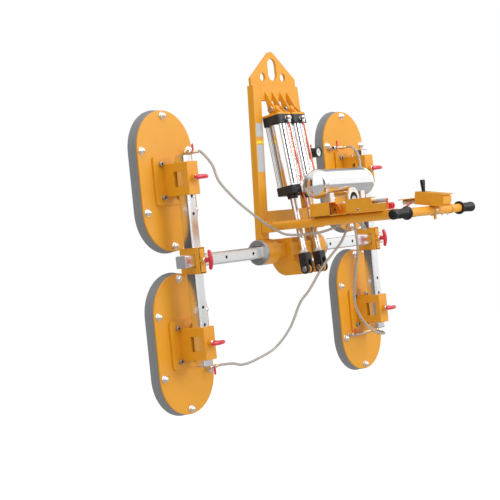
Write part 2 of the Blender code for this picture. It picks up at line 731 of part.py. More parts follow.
def control_box():
    """The valve box on the handle bar, with the slot of its paddle and a saddle under it."""
    half = BOX_LENGTH / 2
    lip = BOX_LIP
    side_view = [(-half, -BOX_HEIGHT / 2 + 0.006), (-half, BOX_HEIGHT / 2 - 0.003),
                 (-half - lip, BOX_HEIGHT / 2 - 0.003), (-half - lip, BOX_HEIGHT / 2),
                 (half, BOX_HEIGHT / 2), (half, -BOX_HEIGHT / 2),
                 (-half - lip, -BOX_HEIGHT / 2), (-half - lip, -BOX_HEIGHT / 2 + 0.006)]
    box = extruded([side_view], -BOX_HALF, BOX_HALF)
    box = moved(box, Matrix.Translation(BOX_CENTRE) @ Matrix.Rotation(BOX_TILT, 4, "X"))
    valve_back = BOX_CENTRE.y + half + BOX_VALVE_DEPTH * 0.81
    valve = block((-BOX_VALVE_HALF, valve_back - BOX_VALVE_DEPTH, BOX_CENTRE.z - BOX_VALVE_HEIGHT * 0.53),
                  (BOX_VALVE_HALF, valve_back, BOX_CENTRE.z + BOX_VALVE_HEIGHT * 0.47), SHEET)
    saddle = block((PADDLE_SLOT, HANDLE_Y - HANDLE_RADIUS, ARM_Z),
                   (PADDLE_SLOT + SADDLE_WIDTH, HANDLE_Y + HANDLE_RADIUS, BOX_CENTRE.z - BOX_HEIGHT / 5))
    box = union(box, valve, saddle)
    seat = rod((0, HANDLE_Y, ARM_Z), HANDLE_RADIUS + 2 * GAP, -0.5, 0.5, "X", 24)
    slot = block((PADDLE_PIVOT.x - PADDLE_SLOT, PADDLE_PIVOT.y - PADDLE_SWING, PADDLE_PIVOT.z - 0.012),
                 (PADDLE_PIVOT.x + PADDLE_SLOT, PADDLE_PIVOT.y + PADDLE_SWING, PADDLE_PIVOT.z + 2 * BOX_HEIGHT))
    node("control_box", cut(box, seat, slot), "orange_paint")


def control_lever():
    """The flared paddle that tilts the load, on a stem that turns inside the box."""
    x, y, z = PADDLE_PIVOT
    top = 0.232
    bottom = top - PADDLE_LENGTH
    half = PADDLE_WIDTH / 2
    outline = [(x - 0.004, bottom), (x + 0.004, bottom), (x + half, bottom + 0.020),
               (x + half, top - 0.003), (x + half - 0.003, top), (x - half + 0.003, top),
               (x - half, top - 0.003), (x - half, bottom + 0.020)]
    paddle = extruded([outline], y - 0.0065, y + 0.0065, "Y")
    stem = rod((x, y, 0), 0.004, z, bottom + 0.004, "Z", 8)
    barrel = rod((x, y, z), 0.006, -0.0075, 0.0075, "X", 12)
    node("control_lever", union(paddle, stem, barrel), "black_grip", PADDLE_PIVOT)


ARM_TOP = ARM_Z + ARM_RADIUS + GAP


def vacuum_tank():
    """The polished vacuum reservoir, with domed ends and two slanted legs."""
    profile = arc(0, -TANK_HALF + TANK_RADIUS, TANK_RADIUS, -90, 0, 6)
    profile = profile + arc(0, TANK_HALF - TANK_RADIUS, TANK_RADIUS, 0, 90, 6)
    profile[0] = (0, profile[0][1])
    profile[-1] = (0, profile[-1][1])
    tank = turned(profile, (0, TANK_Y, TANK_Z), "X", 32)
    foot = ARM_TOP + PLATE_THICK + GAP
    for _, side in SIDES:
        y = TANK_Y - 0.020
        outline = [(y - 0.030, foot), (y - 0.005, foot), (y + 0.015, TANK_Z - TANK_RADIUS + 0.012),
                   (y - 0.012, TANK_Z - TANK_RADIUS + 0.012)]
        x = side * TANK_LEG_X
        tank = union(tank, extruded([outline], x - 0.015, x + 0.015))
    node("vacuum_tank", tank, "polished_steel")


def valve_enclosure():
    """A base plate across both arms, with the sheet cover of the air valves on its left."""
    left = -CONSOLE_LEFT
    right = left + ENCLOSURE_WIDTH
    plate_top = ARM_TOP + PLATE_THICK
    plate = block((left, ENCLOSURE_FRONT, ARM_TOP), (CONSOLE_LEFT, ENCLOSURE_BACK, plate_top))
    cover = block((left, ENCLOSURE_SPLIT, ARM_TOP), (right, ENCLOSURE_BACK, ENCLOSURE_TOP), 0.002)
    wall = block((right - SHEET, ENCLOSURE_FRONT, ARM_TOP),
                 (right, ENCLOSURE_SPLIT + WELD, ENCLOSURE_TOP - 0.010))
    valves = block((left + 0.075, ENCLOSURE_SPLIT - 0.060, ARM_TOP),
                   (left + 0.120, ENCLOSURE_SPLIT + 0.018, ENCLOSURE_TOP + 0.022), 0.003)
    body = union(plate, cover, wall, valves)
    for barb_x in CONSOLE_BARBS.values():
        body = union(body, rod((barb_x, BARB_Y, 0), HOSE_RADIUS, ARM_TOP - BARB_LENGTH, ARM_TOP + WELD, "Z", 10))
    node("valve_enclosure", body, "orange_paint")


def console_tray():
    """The folded tray that covers the exhaust line, its low end and the silencer in it."""
    left = -CONSOLE_LEFT
    right = left + ENCLOSURE_WIDTH
    base = ARM_TOP + 0.003
    high = block((left, TRAY_SPLIT, base), (right, TRAY_BACK, TRAY_TOP), 0.002)
    low = block((left, TRAY_FRONT, base), (right, TRAY_SPLIT + 0.002, TRAY_LOW_TOP), 0.002)
    foot = block((left + 0.020, TRAY_SPLIT, ARM_TOP), (right - 0.010, TRAY_BACK - 0.02, base + WELD))
    x = left + 0.022
    tip = -TRAY_FRONT + SILENCER_REACH
    silencer = turned([(0, tip), (SILENCER_RADIUS * 0.7, tip), (SILENCER_RADIUS, tip - 0.006),
                       (SILENCER_RADIUS, -TRAY_SPLIT + 0.012), (SILENCER_RADIUS * 0.75, -TRAY_SPLIT + 0.010),
                       (SILENCER_RADIUS * 0.75, -TRAY_SPLIT - 0.004), (0, -TRAY_SPLIT - 0.004)],
                      (x, 0, 0.1675), "Y", 16)
    stem = rod((left + SLIDE_X, 0, SLIDE_Z), SLIDE_STEM_RADIUS, -TRAY_FRONT - WELD,
               -TRAY_FRONT + SLIDE_TRAVEL + SLIDE_LENGTH, "Y", 8)
    return node("console_tray", union(high, low, foot, silencer, stem), "orange_paint")


def slide_valve():
    """The red sleeve that slides along its stem to shut the vacuum."""
    x = -CONSOLE_LEFT + SLIDE_X
    back = TRAY_FRONT - SLIDE_TRAVEL - 2 * GAP
    half = SLIDE_WIDTH / 2
    body = block((x - half, back - SLIDE_LENGTH, SLIDE_Z - half),
                 (x + half, back, SLIDE_Z + half), 0.005, 2)
    bore = rod((x, 0, SLIDE_Z), SLIDE_STEM_RADIUS + RUN, -back - 0.01, -back + SLIDE_LENGTH + 0.01, "Y", 8)
    return node("slide_valve", cut(body, bore), "red_plastic")


def vacuum_generator():
    """The vacuum generator's round flange with its open bore, on a short foot."""
    front = -ENCLOSURE_SPLIT
    back = front - GENERATOR_DEPTH
    base = ARM_TOP + PLATE_THICK + GAP
    centre = (GENERATOR_X, 0, GENERATOR_Z)
    ring = [(0, back), (GENERATOR_BODY, back), (GENERATOR_BODY, front - GENERATOR_FLANGE),
            (GENERATOR_RADIUS, front - GENERATOR_FLANGE), (GENERATOR_RADIUS, front),
            (GENERATOR_BORE, front), (GENERATOR_BORE, back + SHEET), (0, back + SHEET)]
    body = turned(ring, centre, "Y", 24)
    foot = block((GENERATOR_X - 0.020, -front + 0.002, base),
                 (GENERATOR_X + 0.020, -back, GENERATOR_Z - GENERATOR_BORE - SHEET))
    return node("vacuum_generator", union(body, foot), "white_flange")


def vacuum_gauge():
    """The dial on the right upright, on its black fitting."""
    face = -0.085
    root = FRAME_DEPTH / 2 + GAP
    body = turned([(0, 0.040), (GAUGE_RADIUS - 0.004, 0.040), (GAUGE_RADIUS, 0.046),
                   (GAUGE_RADIUS, -face), (GAUGE_RADIUS - 0.003, -face + 0.002), (0, -face + 0.002)],
                  (GAUGE_X, 0, GAUGE_Z), "Y", 24)
    fitting = block((GAUGE_X - 0.026, -0.046, GAUGE_Z - 0.014), (GAUGE_X - 0.002, -root, GAUGE_Z + 0.034),
                    0.003)
    return node("vacuum_gauge", union(body, fitting), "black_cast")


def columns():
    """A clamp that hooks over the cross tube, with a square tube above and below it."""
    mouth = TUBE / 2 + 2 * GAP
    for name, side in SIDES:
        x = side * COLUMN_X
        clamp = block((x - CLAMP_WIDTH / 2, -mouth - CLAMP_WEB, -mouth - CLAMP_ARM),
                      (x + CLAMP_WIDTH / 2, CLAMP_BACK, mouth + CLAMP_ARM), 0.002)
        clamp = cut(clamp, block((x - 0.1, -mouth, -mouth), (x + 0.1, 0.1, mouth)))
        for end in (-1, 1):
            inner = end * (mouth + CLAMP_ARM - WELD)
            outer = end * COLUMN_HALF
            tube = shifted(square_tube(abs(outer - inner) / 2, "Z"), x, 0, (inner + outer) / 2)
            for place in COLUMN_HOLES + (PAD_Z,):
                hole = rod((x, -TUBE / 2, end * place), PIN_HOLE / 2, -TUBE_WALL * 2, TUBE_WALL * 2, "Y", 12)
                tube = cut(tube, hole)
            clamp = union(clamp, tube)
        boss = rod((x, 0, 0), BOSS_RADIUS, mouth + CLAMP_WEB - WELD, mouth + CLAMP_WEB + BOSS_LENGTH, "Y")
        bore = rod((x, 0, 0), PIN_RADIUS + RUN, mouth - WELD, 0.2, "Y", 12)
        node("column_" + name, cut(union(clamp, boss), bore), "zinc_tube")


def pull_pin(name, x, front, nose, upright):
    """A red T handle on a steel pin that drops into the tube behind it."""
    end = BOSS_LENGTH + front + GAP
    pin = rod((x, 0, 0), PIN_RADIUS, nose, end + PIN_STEM, "Y", 12)
    collar = turned([(0, end), (BOSS_RADIUS - 0.003, end), (BOSS_RADIUS - 0.006, end + 0.010),
                     (0, end + 0.010)], (x, 0, 0), "Y", 12)
    half = T_BAR_LENGTH / 2
    bar = rod((0, 0, 0), T_BAR_RADIUS, -half, half, "Z" if upright else "X", 12)
    bar = shifted(bar, x, -end - PIN_STEM, 0)
    return node(name, union(pin, collar, bar), "red_plastic", (x, -end, 0))


def pads():
    """Four pads: sleeve on the column, steel plate, rubber seal, pull pin and shut-off valve."""
    for row, up in (("upper", 1), ("lower", -1)):
        for name, side in SIDES:
            label = row + "_" + name
            pin = pull_pin("sleeve_pin_" + label, 0, -SLEEVE_FRONT, TUBE / 2 + 2 * GAP, False)
            pieces = (pin, pad_sleeve(label), pad_plate(label, side, up), pad_seal(label),
                      valve_lever(label, side, up))
            for piece in pieces:
                piece.location.x += side * COLUMN_X
                piece.location.z += up * PAD_Z


def pad_sleeve(label):
    """The housing that slides on a column, on a base plate bolted to the pad."""
    mouth = TUBE / 2 + 2 * GAP
    back = PAD_FRONT - GAP
    base_front = back - PAD_THICK
    half = SLEEVE_HEIGHT / 2
    base = extruded([rounded(0, 0, 2 * SLEEVE_BASE_HALF, SLEEVE_BASE_HEIGHT, 0.012)],
                    base_front, back, "Y")
    housing = block((-SLEEVE_WIDTH / 2, SLEEVE_FRONT, -half),
                    (SLEEVE_WIDTH / 2, base_front + WELD, half), 0.002)
    bore = block((-mouth, -mouth, -0.2), (mouth, mouth, 0.2))
    window = block((-0.1, -mouth + 0.005, -SLEEVE_WINDOW / 2),
                   (0.1, mouth + 0.006, SLEEVE_WINDOW / 2))
    housing = cut(housing, bore, window)
    relief = block((-SLEEVE_WIDTH / 2 + 0.010, mouth + 0.010, -half - 0.01),
                   (SLEEVE_WIDTH / 2 - 0.010, base_front - 0.004, half + 0.01))
    housing = cut(housing, relief)
    boss = rod((0, 0, 0), BOSS_RADIUS, -SLEEVE_FRONT - WELD, -SLEEVE_FRONT + BOSS_LENGTH, "Y")
    sleeve = union(base, housing, boss)
    for _, u in SIDES:
        for _, v in SIDES:
            head = rod((u * SLEEVE_BOLT_X, 0, v * SLEEVE_BOLT_Z), 0.008,
                       -base_front - WELD, -base_front + 0.006, "Y", 6)
            sleeve = union(sleeve, head)
    pin_bore = rod((0, 0, 0), PIN_RADIUS + RUN, mouth - WELD, 0.2, "Y", 12)
    return node("pad_sleeve_" + label, cut(sleeve, pin_bore), "orange_paint")


def pad_plate(label, side, up):
    """The racetrack plate with its six acorn nuts and the elbow of its vacuum line."""
    plate = extruded([racetrack(0, 0, PAD_RADIUS, PAD_STRAIGHT, 12)], PAD_FRONT,
                     PAD_FRONT + PAD_THICK, "Y")
    places = [(0, v * (PAD_STRAIGHT + NUT_RING)) for _, v in SIDES]
    places += [(u * NUT_RING, v * PAD_STRAIGHT) for _, u in SIDES for _, v in SIDES]
    for u, v in places:
        nut = turned([(0, 0.015), (ACORN_RADIUS * 0.5, 0.013), (ACORN_RADIUS, 0.005),
                      (ACORN_RADIUS, -WELD), (0, -WELD)], (u, PAD_FRONT, v), "Y", 10)
        plate = union(plate, nut)
    inlet_x, inlet_z = valve_place(side, up)
    stem = rod((inlet_x, 0, inlet_z), VALVE_RADIUS - 0.002, -PAD_FRONT - WELD, -VALVE_Y, "Y", 12)
    row_end = row_x(side, up)
    row = rod((0, VALVE_Y, inlet_z), VALVE_RADIUS, inlet_x - VALVE_RADIUS * 1.5, row_end, "X", 10)
    if side < 0:
        barb = rod((0, VALVE_Y, inlet_z), HOSE_RADIUS, row_end - WELD, row_end + BARB_LENGTH, "X", 10)
    else:
        barb = rod((row_end - VALVE_RADIUS, 0, inlet_z), HOSE_RADIUS, -VALVE_Y,
                   -VALVE_Y + VALVE_RADIUS + BARB_LENGTH, "Y", 12)
    return node("pad_plate_" + label, union(plate, stem, row, barb), "orange_paint")


def valve_place(side, up):
    """Where a pad's shut-off valve stands on its plate, past the corner of the sleeve's base."""
    return -side * VALVE_X, up * (SLEEVE_BASE_HEIGHT / 2 + VALVE_RADIUS + 0.004)


def row_x(side, up):
    """Where a pad's row of fittings ends, measured from the pad's middle."""
    if side < 0:
        return ROW_END_LEFT
    return ROW_END_UPPER_RIGHT if up > 0 else ROW_END_LOWER_RIGHT


def pad_seal(label):
    """The rubber ring that seals the pad against the panel."""
    front = PAD_FRONT + PAD_THICK + GAP
    outlines = [racetrack(0, 0, SEAL_LIP, PAD_STRAIGHT), racetrack(0, 0, SEAL_BORE, PAD_STRAIGHT)]
    ring = extruded(outlines, front, SEAL_BACK, "Y")
    return node("pad_seal_" + label, ring, "grey_rubber")


def valve_lever(label, side, up):
    """The red quarter-turn lever on a pad's shut-off valve."""
    inlet_x, inlet_z = valve_place(side, up)
    y = VALVE_Y - VALVE_RADIUS - GAP
    points_up = 1 if up > 0 or side > 0 else -1
    hub = rod((inlet_x, 0, inlet_z), LEVER_WIDTH / 2, -y, -y + 0.006, "Y", 10)
    ends = sorted((inlet_z, inlet_z + points_up * VALVE_LEVER))
    blade = block((inlet_x - LEVER_WIDTH / 2, y - 0.006, ends[0]),
                  (inlet_x + LEVER_WIDTH / 2, y - 0.003, ends[1]), 0.001)
    piece = union(hub, blade)
    return node("valve_lever_" + label, piece, "red_plastic", (inlet_x, y, inlet_z))


def hose(name, start, way, end, middle):
    """A clear vacuum hose from its barb, through chosen points, up to the barb at its far end."""
    route = smooth_route([start] + middle + [end], HOSE_RADIUS * HOSE_SPACING)
    route.insert(1, start + HOSE_RADIUS * way)
    route.insert(-1, end - Vector((0, 0, HOSE_RADIUS)))
    return node(name, pipe(route, HOSE_RADIUS), "clear_hose")


def pad_barb(side, up):
    """The mouth of a pad's hose barb in the tilt frame, and the way the hose leaves it."""
    x = side * COLUMN_X + row_x(side, up)
    z = up * PAD_Z + valve_place(side, up)[1]
    if side < 0:
        return Vector((x + BARB_LENGTH + GAP, VALVE_Y, z)), Vector((1, 0, 0))
    y = VALVE_Y - VALVE_RADIUS - BARB_LENGTH - GAP
    return Vector((x - VALVE_RADIUS, y, z)), Vector((0, -1, 0))


def hoses():
    """Four vacuum hoses from the barbs under the console's base plate to the pads."""
    routes = {
        "upper_left": [(-0.436, 0.022, 0.385), (-0.440, -0.010, 0.313), (-0.416, -0.050, 0.247),
                        (-0.379, -0.080, 0.195), (-0.306, -0.100, 0.137),
                        (-0.225, -0.115, 0.088), (-0.163, -0.125, 0.064),
                        (-0.074, -0.165, 0.058), (-0.020, -0.220, 0.064)],
        "lower_left": [(-0.411, 0.036, -0.443), (-0.380, 0.014, -0.452),
                        (-0.335, -0.020, -0.440), (-0.257, -0.070, -0.401),
                        (-0.193, -0.110, -0.326), (-0.146, -0.140, -0.227),
                        (-0.108, -0.170, -0.174), (-0.050, -0.200, -0.092),
                        (-0.005, -0.222, -0.044), (0.047, -0.250, 0.014)],
        "lower_right": [(0.664, -0.006, -0.447), (0.640, -0.028, -0.452), (0.590, -0.040, -0.446),
                        (0.510, -0.050, -0.418), (0.410, -0.070, -0.360), (0.305, -0.110, -0.280),
                        (0.225, -0.170, -0.191), (0.175, -0.225, -0.101), (0.140, -0.265, -0.020)],
        "upper_right": [(0.578, -0.010, 0.422), (0.568, -0.032, 0.385), (0.545, -0.050, 0.335),
                        (0.490, -0.075, 0.265), (0.400, -0.120, 0.175), (0.310, -0.185, 0.095),
                        (0.235, -0.250, 0.055), (0.168, -0.285, 0.058)],
    }
    for label, barb_x in CONSOLE_BARBS.items():
        side = -1 if "left" in label else 1
        up = 1 if "upper" in label else -1
        start, way = pad_barb(side, up)
        end = Vector((barb_x, BARB_Y, ARM_TOP - BARB_LENGTH - GAP))
        middle = [start + HOSE_LEAD * way] + [Vector(point) for point in routes[label]]
        middle.append(end - Vector((0, 0, HOSE_LEAD)))
        hose("hose_" + label, start, way, end, middle)


def air_tubes():
    """The orange air line of each cylinder, from its upper port down the front of the barrel."""
    front = CAP_SIZE / 2 + AIR_TUBE_STAND
    for name, side in SIDES:
        port = -(CAP_START + CAP_END) / 2
        points = [(AIR_TUBE_X, -front, port - AIR_FITTING - GAP), (AIR_TUBE_X, -front, port - 0.060),
                  (AIR_TUBE_X + 0.006, -front + 0.004, port - 0.150),
                  (AIR_TUBE_X + 0.010, -front, port - 0.240),
                  (AIR_TUBE_X + 0.006, -front, -LOW_CAP_END)]
        tube = pipe(smooth_route(points, AIR_TUBE_RADIUS * HOSE_SPACING), AIR_TUBE_RADIUS)
        pivot = TOP_PIN + Vector((side * CYLINDER_X, 0, 0))
        node("air_tube_" + name, on_cylinder(tube, side), "orange_tube", pivot)


lifting_lug()
head_beam()
uprights()
cross_member()
bearings()
hub_tube()
cross_tube()
tilt_levers()
for side_name, side_sign in SIDES:
    tilt_cylinder(side_name, side_sign)
    piston_rod(side_name, side_sign)
control_arms()
handle()
control_box()
control_lever()
vacuum_tank()
valve_enclosure()
console_tray()
slide_valve()
vacuum_generator()
vacuum_gauge()
columns()
for side_name, side_sign in SIDES:
    pull_pin("column_pin_" + side_name, side_sign * COLUMN_X,
             TUBE / 2 + 2 * GAP + CLAMP_WEB, TUBE / 2 + 2 * GAP, True)
pads()
hoses()
air_tubes()
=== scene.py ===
# %% [markdown]
# # Dressing a tilting vacuum lifter
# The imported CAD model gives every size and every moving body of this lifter. This lesson puts the
# real surfaces on it: painted plates with soft edges, chromed cylinders, rubber seals and hoses.
# Nothing here moves or resizes the CAD; each new piece rides on the body that carries it.

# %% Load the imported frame
import math

import bmesh
import bpy
import numpy as np
from mathutils import Matrix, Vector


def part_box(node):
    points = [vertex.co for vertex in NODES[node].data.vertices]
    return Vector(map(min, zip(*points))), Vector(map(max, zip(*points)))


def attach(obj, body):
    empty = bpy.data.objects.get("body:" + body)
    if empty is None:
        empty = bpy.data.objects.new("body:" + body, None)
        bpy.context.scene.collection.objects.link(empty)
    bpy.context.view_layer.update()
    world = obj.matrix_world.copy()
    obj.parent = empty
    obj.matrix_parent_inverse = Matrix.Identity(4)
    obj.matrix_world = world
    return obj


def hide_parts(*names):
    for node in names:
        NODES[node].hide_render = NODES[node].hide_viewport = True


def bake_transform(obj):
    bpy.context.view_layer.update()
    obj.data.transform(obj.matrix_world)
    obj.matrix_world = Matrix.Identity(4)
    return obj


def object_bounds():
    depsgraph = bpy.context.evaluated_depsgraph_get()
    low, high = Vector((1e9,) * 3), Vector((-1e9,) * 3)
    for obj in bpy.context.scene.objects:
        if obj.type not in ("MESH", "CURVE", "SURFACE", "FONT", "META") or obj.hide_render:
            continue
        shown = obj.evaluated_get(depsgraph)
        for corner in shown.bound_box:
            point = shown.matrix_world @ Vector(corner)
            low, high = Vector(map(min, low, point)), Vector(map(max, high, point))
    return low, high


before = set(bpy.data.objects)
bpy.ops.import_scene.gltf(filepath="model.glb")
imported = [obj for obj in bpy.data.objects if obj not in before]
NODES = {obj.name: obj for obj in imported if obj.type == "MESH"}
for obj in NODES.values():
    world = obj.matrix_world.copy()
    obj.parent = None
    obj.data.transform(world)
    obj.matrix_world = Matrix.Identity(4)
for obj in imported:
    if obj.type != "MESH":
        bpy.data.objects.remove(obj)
CAD_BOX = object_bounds()
SIDES = (("left", -1), ("right", 1))
ROWS = (("upper", 1), ("lower", -1))

# %% [markdown]
# The lifter turns about its hub, so the hub is the natural zero: X runs along it, Y towards the
# panel and Z up. Lengths below are metres from the hub's middle, and `HUB` carries them to the
# frame's own zero, which is the lifting eye.

# %% Find the hub
def box_of(node):
    """A node's lowest and highest corner, measured from the hub."""
    low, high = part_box(node)
    return np.array(low) - HUB, np.array(high) - HUB


def middle_of(node):
    """The middle of a node's box, measured from the hub."""
    low, high = box_of(node)
    return (low + high) / 2


HUB = np.zeros(3)
HUB = middle_of("hub_tube")
print("hub height below the lifting eye:", round(-HUB[2], 4))

# %% [markdown]
# The camera stands level with the hub and to its left, nearly six metres off, and leans a little,
# as a hand-held picture does. Three angles in radians say how it is held: its bearing, its
# elevation and its lean. The focal length is given in pixels of a picture 500 pixels wide and
# becomes a lens on a 36 mm sensor.

# %% Camera
PICTURE_WIDTH = 500
FOCAL_PIXELS = 1325.11
SENSOR_WIDTH = 36
VIEWPOINT = HUB + (-4.6080, -3.4812, 0.1124)
BEARING = -0.8945
ELEVATION = 0.0173
LEAN = -0.1005


def placed(name, data):
    """A new object, linked to the scene."""
    obj = bpy.data.objects.new(name, data)
    bpy.context.scene.collection.objects.link(obj)
    return obj


def standing(across, rise, back, place):
    """The 4 by 4 matrix whose columns are three directions and a place."""
    pose = np.eye(4)
    pose[:3] = np.column_stack([across, rise, back, place])
    return Matrix(pose.tolist())


forward = np.array([-math.sin(BEARING) * math.cos(ELEVATION),
                    math.cos(BEARING) * math.cos(ELEVATION),
                    -math.sin(ELEVATION)])
level = np.array([math.cos(BEARING), math.sin(BEARING), 0])
above = np.cross(level, forward)
right = math.cos(LEAN) * level + math.sin(LEAN) * above
upward = math.cos(LEAN) * above - math.sin(LEAN) * level
lens = bpy.data.cameras.new("camera")
lens.sensor_width = SENSOR_WIDTH
lens.lens = SENSOR_WIDTH * FOCAL_PIXELS / PICTURE_WIDTH
camera = placed("camera", lens)
camera.matrix_world = standing(right, upward, -forward, VIEWPOINT)
bpy.context.scene.camera = camera
bpy.context.scene.view_settings.view_transform = "Standard"
print("lens in mm:", round(lens.lens, 1))

# %% [markdown]
# Shader maths reads best as arithmetic. `Reading` wraps one socket, and adding, multiplying or
# subtracting readings adds the Math nodes. `Finish` wraps a material: it sets the constants of
# the Principled shader, and its `node` method adds any other node from its settings and inputs.

# %% Shader helpers
class Reading:
    """One output socket; arithmetic on it adds Math nodes to its material."""

    def __init__(self, finish, socket):
        self.finish = finish
        self.socket = socket

    def math(self, operation, first, second=0.0):
        return self.finish.node("ShaderNodeMath", {"operation": operation}, {0: first, 1: second})

    def __add__(self, other):
        return self.math("ADD", self, other)

    def __sub__(self, other):
        return self.math("SUBTRACT", self, other)

    def __rsub__(self, other):
        return self.math("SUBTRACT", other, self)

    def __mul__(self, other):
        return self.math("MULTIPLY", self, other)

    def __truediv__(self, other):
        return self.math("DIVIDE", self, other)

    def __abs__(self):
        return self.math("ABSOLUTE", self)

    def sine(self):
        return self.math("SINE", self)

    def cosine(self):
        return self.math("COSINE", self)

    def root(self):
        return self.math("SQRT", self)

    def above(self, edge):
        return self.math("GREATER_THAN", self, edge)

    def eased(self, low, high):
        """Zero below low, one above high, and a smooth step between them."""
        return self.finish.node("ShaderNodeMapRange", {"interpolation_type": "SMOOTHSTEP"},
                                {"Value": self, "From Min": low, "From Max": high})

    __radd__ = __add__
    __rmul__ = __mul__


class Finish:
    """A material whose Principled shader gets constants at once and varying inputs later."""

    def __init__(self, name, colour, **constants):
        self.material = bpy.data.materials.new(name)
        self.material.use_nodes = True
        self.tree = self.material.node_tree
        self.shader = self.tree.nodes["Principled BSDF"]
        self.colour = colour
        self.feed(self.shader.inputs["Base Color"], (*colour, 1))
        self.material.diffuse_color = (*colour, 1)
        for key, value in constants.items():
            self.feed(self.shader.inputs[key.replace("_", " ").title().replace("Ior", "IOR")], value)
        self.place = self.node("ShaderNodeTexCoord", output="Object")

    def feed(self, socket, value):
        """Link a reading to a socket, or set the socket's own value."""
        if isinstance(value, Reading):
            self.tree.links.new(value.socket, socket)
        else:
            socket.default_value = value

    def node(self, kind, settings=None, inputs=None, output=0):
        """Add one node: its settings first, then the values or links of its sockets."""
        made = self.tree.nodes.new(kind)
        for key, value in (settings or {}).items():
            setattr(made, key, value)
        for key, value in (inputs or {}).items():
            self.feed(made.inputs[key], value)
        return Reading(self, made.outputs[output])

    def noise(self, scale, detail=2.0, stretch=(1, 1, 1)):
        """Cloudy noise on object coordinates; a larger stretch packs it closer on that axis."""
        place = self.node("ShaderNodeMapping", None, {"Vector": self.place, "Scale": stretch})
        return self.node("ShaderNodeTexNoise", None,
                         {"Vector": place, "Scale": scale, "Detail": detail})

    def axis(self, name, source=None):
        """One coordinate of the object, or of another vector."""
        return self.node("ShaderNodeSeparateXYZ", None, {0: source or self.place}, name)

    def blend(self, first, second, factor):
        """A colour between two colours."""
        pair = [value if isinstance(value, Reading) else (*value, 1) for value in (first, second)]
        return self.node("ShaderNodeMix", {"data_type": "RGBA"},
                         {0: factor, 6: pair[0], 7: pair[1]}, 2)

    def shade(self, low, high, factor):
        """The base colour between two strengths of the finish's own colour."""
        tones = [tuple(min(1, channel * part) for channel in self.colour) for part in (low, high)]
        self.set("Base Color", self.blend(tones[0], tones[1], factor))

    def set(self, key, value):
        self.feed(self.shader.inputs[key], value)

    def bump(self, height, depth, strength=1.0):
        """Raise the surface by a height between 0 and 1, times a depth in metres."""
        self.set("Normal", self.node("ShaderNodeBump", None, {
            "Height": height, "Distance": depth, "Strength": strength}, "Normal"))


# %% [markdown]
# The frame is powder coated in a warm orange yellow. Powder coat is one smooth plastic skin: it
# shows a faint orange peel, a slightly uneven gloss, and a thin clear sheen on top. A cloud of
# noise a few centimetres wide shifts the colour and the gloss, and a fine one raises the peel.

# %% Paint
CLOUD_SCALE, PEEL_SCALE = 9, 420
PEEL_DEPTH = 0.00022


def painted(name, colour, roughness=0.38, coat=0.12):
    """Powder coat: cloudy gloss, faint orange peel and a thin clear layer."""
    finish = Finish(name, colour, coat_weight=coat, coat_roughness=0.16)
    cloud = finish.noise(CLOUD_SCALE, 3)
    peel = finish.noise(PEEL_SCALE, 2)
    finish.shade(0.95, 1.03, cloud)
    finish.set("Roughness", roughness - 0.06 + 0.12 * cloud)
    finish.bump(peel, PEEL_DEPTH, 0.5)
    return finish.material


PAINT = painted("orange_paint", (0.80, 0.345, 0.012))
WHITE_PAINT = painted("white_paint", (0.86, 0.86, 0.85), 0.34)
LABEL_GREY = painted("label_grey", (0.50, 0.52, 0.54), 0.45, 0.05)
LABEL_YELLOW = painted("label_yellow", (0.88, 0.74, 0.04), 0.45, 0.05)

# %% [markdown]
# Bare metal is drawn or ground along its length, so its gloss runs in streaks. The noise is
# stretched along one axis by packing it closely on the other two. Chrome and the tank are
# polished until almost no streak is left, and cast fittings keep a coarser skin.

# %% Metals
GRAIN_SCALE, STAIN_SCALE = 60, 14
GRAIN_DEPTH = 0.00004


def drawn_metal(name, colour, roughness, streaks, uneven=0.08, tone=0.05, relief=0.35):
    """Metal with fine streaks: streaks gives how closely the noise is packed on each axis."""
    finish = Finish(name, colour, metallic=1.0)
    grain = finish.noise(GRAIN_SCALE, 3, streaks)
    cloud = finish.noise(STAIN_SCALE, 2)
    finish.shade(1 - tone, 1 + tone, cloud)
    finish.set("Roughness", roughness - uneven / 2 + uneven * grain)
    finish.bump(grain, GRAIN_DEPTH, relief)
    return finish.material


ZINC = (0.84, 0.845, 0.85)
ZINC_ALONG_X = drawn_metal("zinc_tube_lengthwise", ZINC, 0.22, (0.4, 9, 9), 0.06, 0.04, 0.05)
ZINC_UPRIGHT = drawn_metal("zinc_tube_upright", ZINC, 0.22, (9, 9, 0.4), 0.06, 0.04, 0.05)
CHROME = drawn_metal("chrome", (0.88, 0.88, 0.89), 0.09, (9, 9, 0.4), 0.05, 0.05, 0.1)
NUT_CHROME = drawn_metal("nut_chrome", (0.86, 0.86, 0.87), 0.08, (2, 2, 2), 0.03, 0.03, 0.05)
TANK_STEEL = drawn_metal("tank_steel", (0.86, 0.86, 0.87), 0.11, (0.4, 8, 8), 0.05)
STEEL = drawn_metal("polished_steel", (0.72, 0.72, 0.73), 0.20, (3, 3, 3))
BRASS = drawn_metal("brass", (0.86, 0.68, 0.38), 0.30, (3, 3, 3))
GREY_METAL = drawn_metal("grey_metal", (0.46, 0.47, 0.48), 0.38, (5, 5, 5), 0.15)
SATIN = drawn_metal("satin_steel", (0.60, 0.61, 0.62), 0.42, (5, 5, 5), 0.10)

# %% [markdown]
# The cylinder caps and forks are black anodised castings, the grips are moulded rubber, and the
# pull handles are glossy nylon. Each is one dark or strong colour, so what tells them apart is
# the skin: grainy and dull, soft and powdery, or smooth with a clear gloss.

# %% Plastics and rubbers
PATCH_SCALE = 25


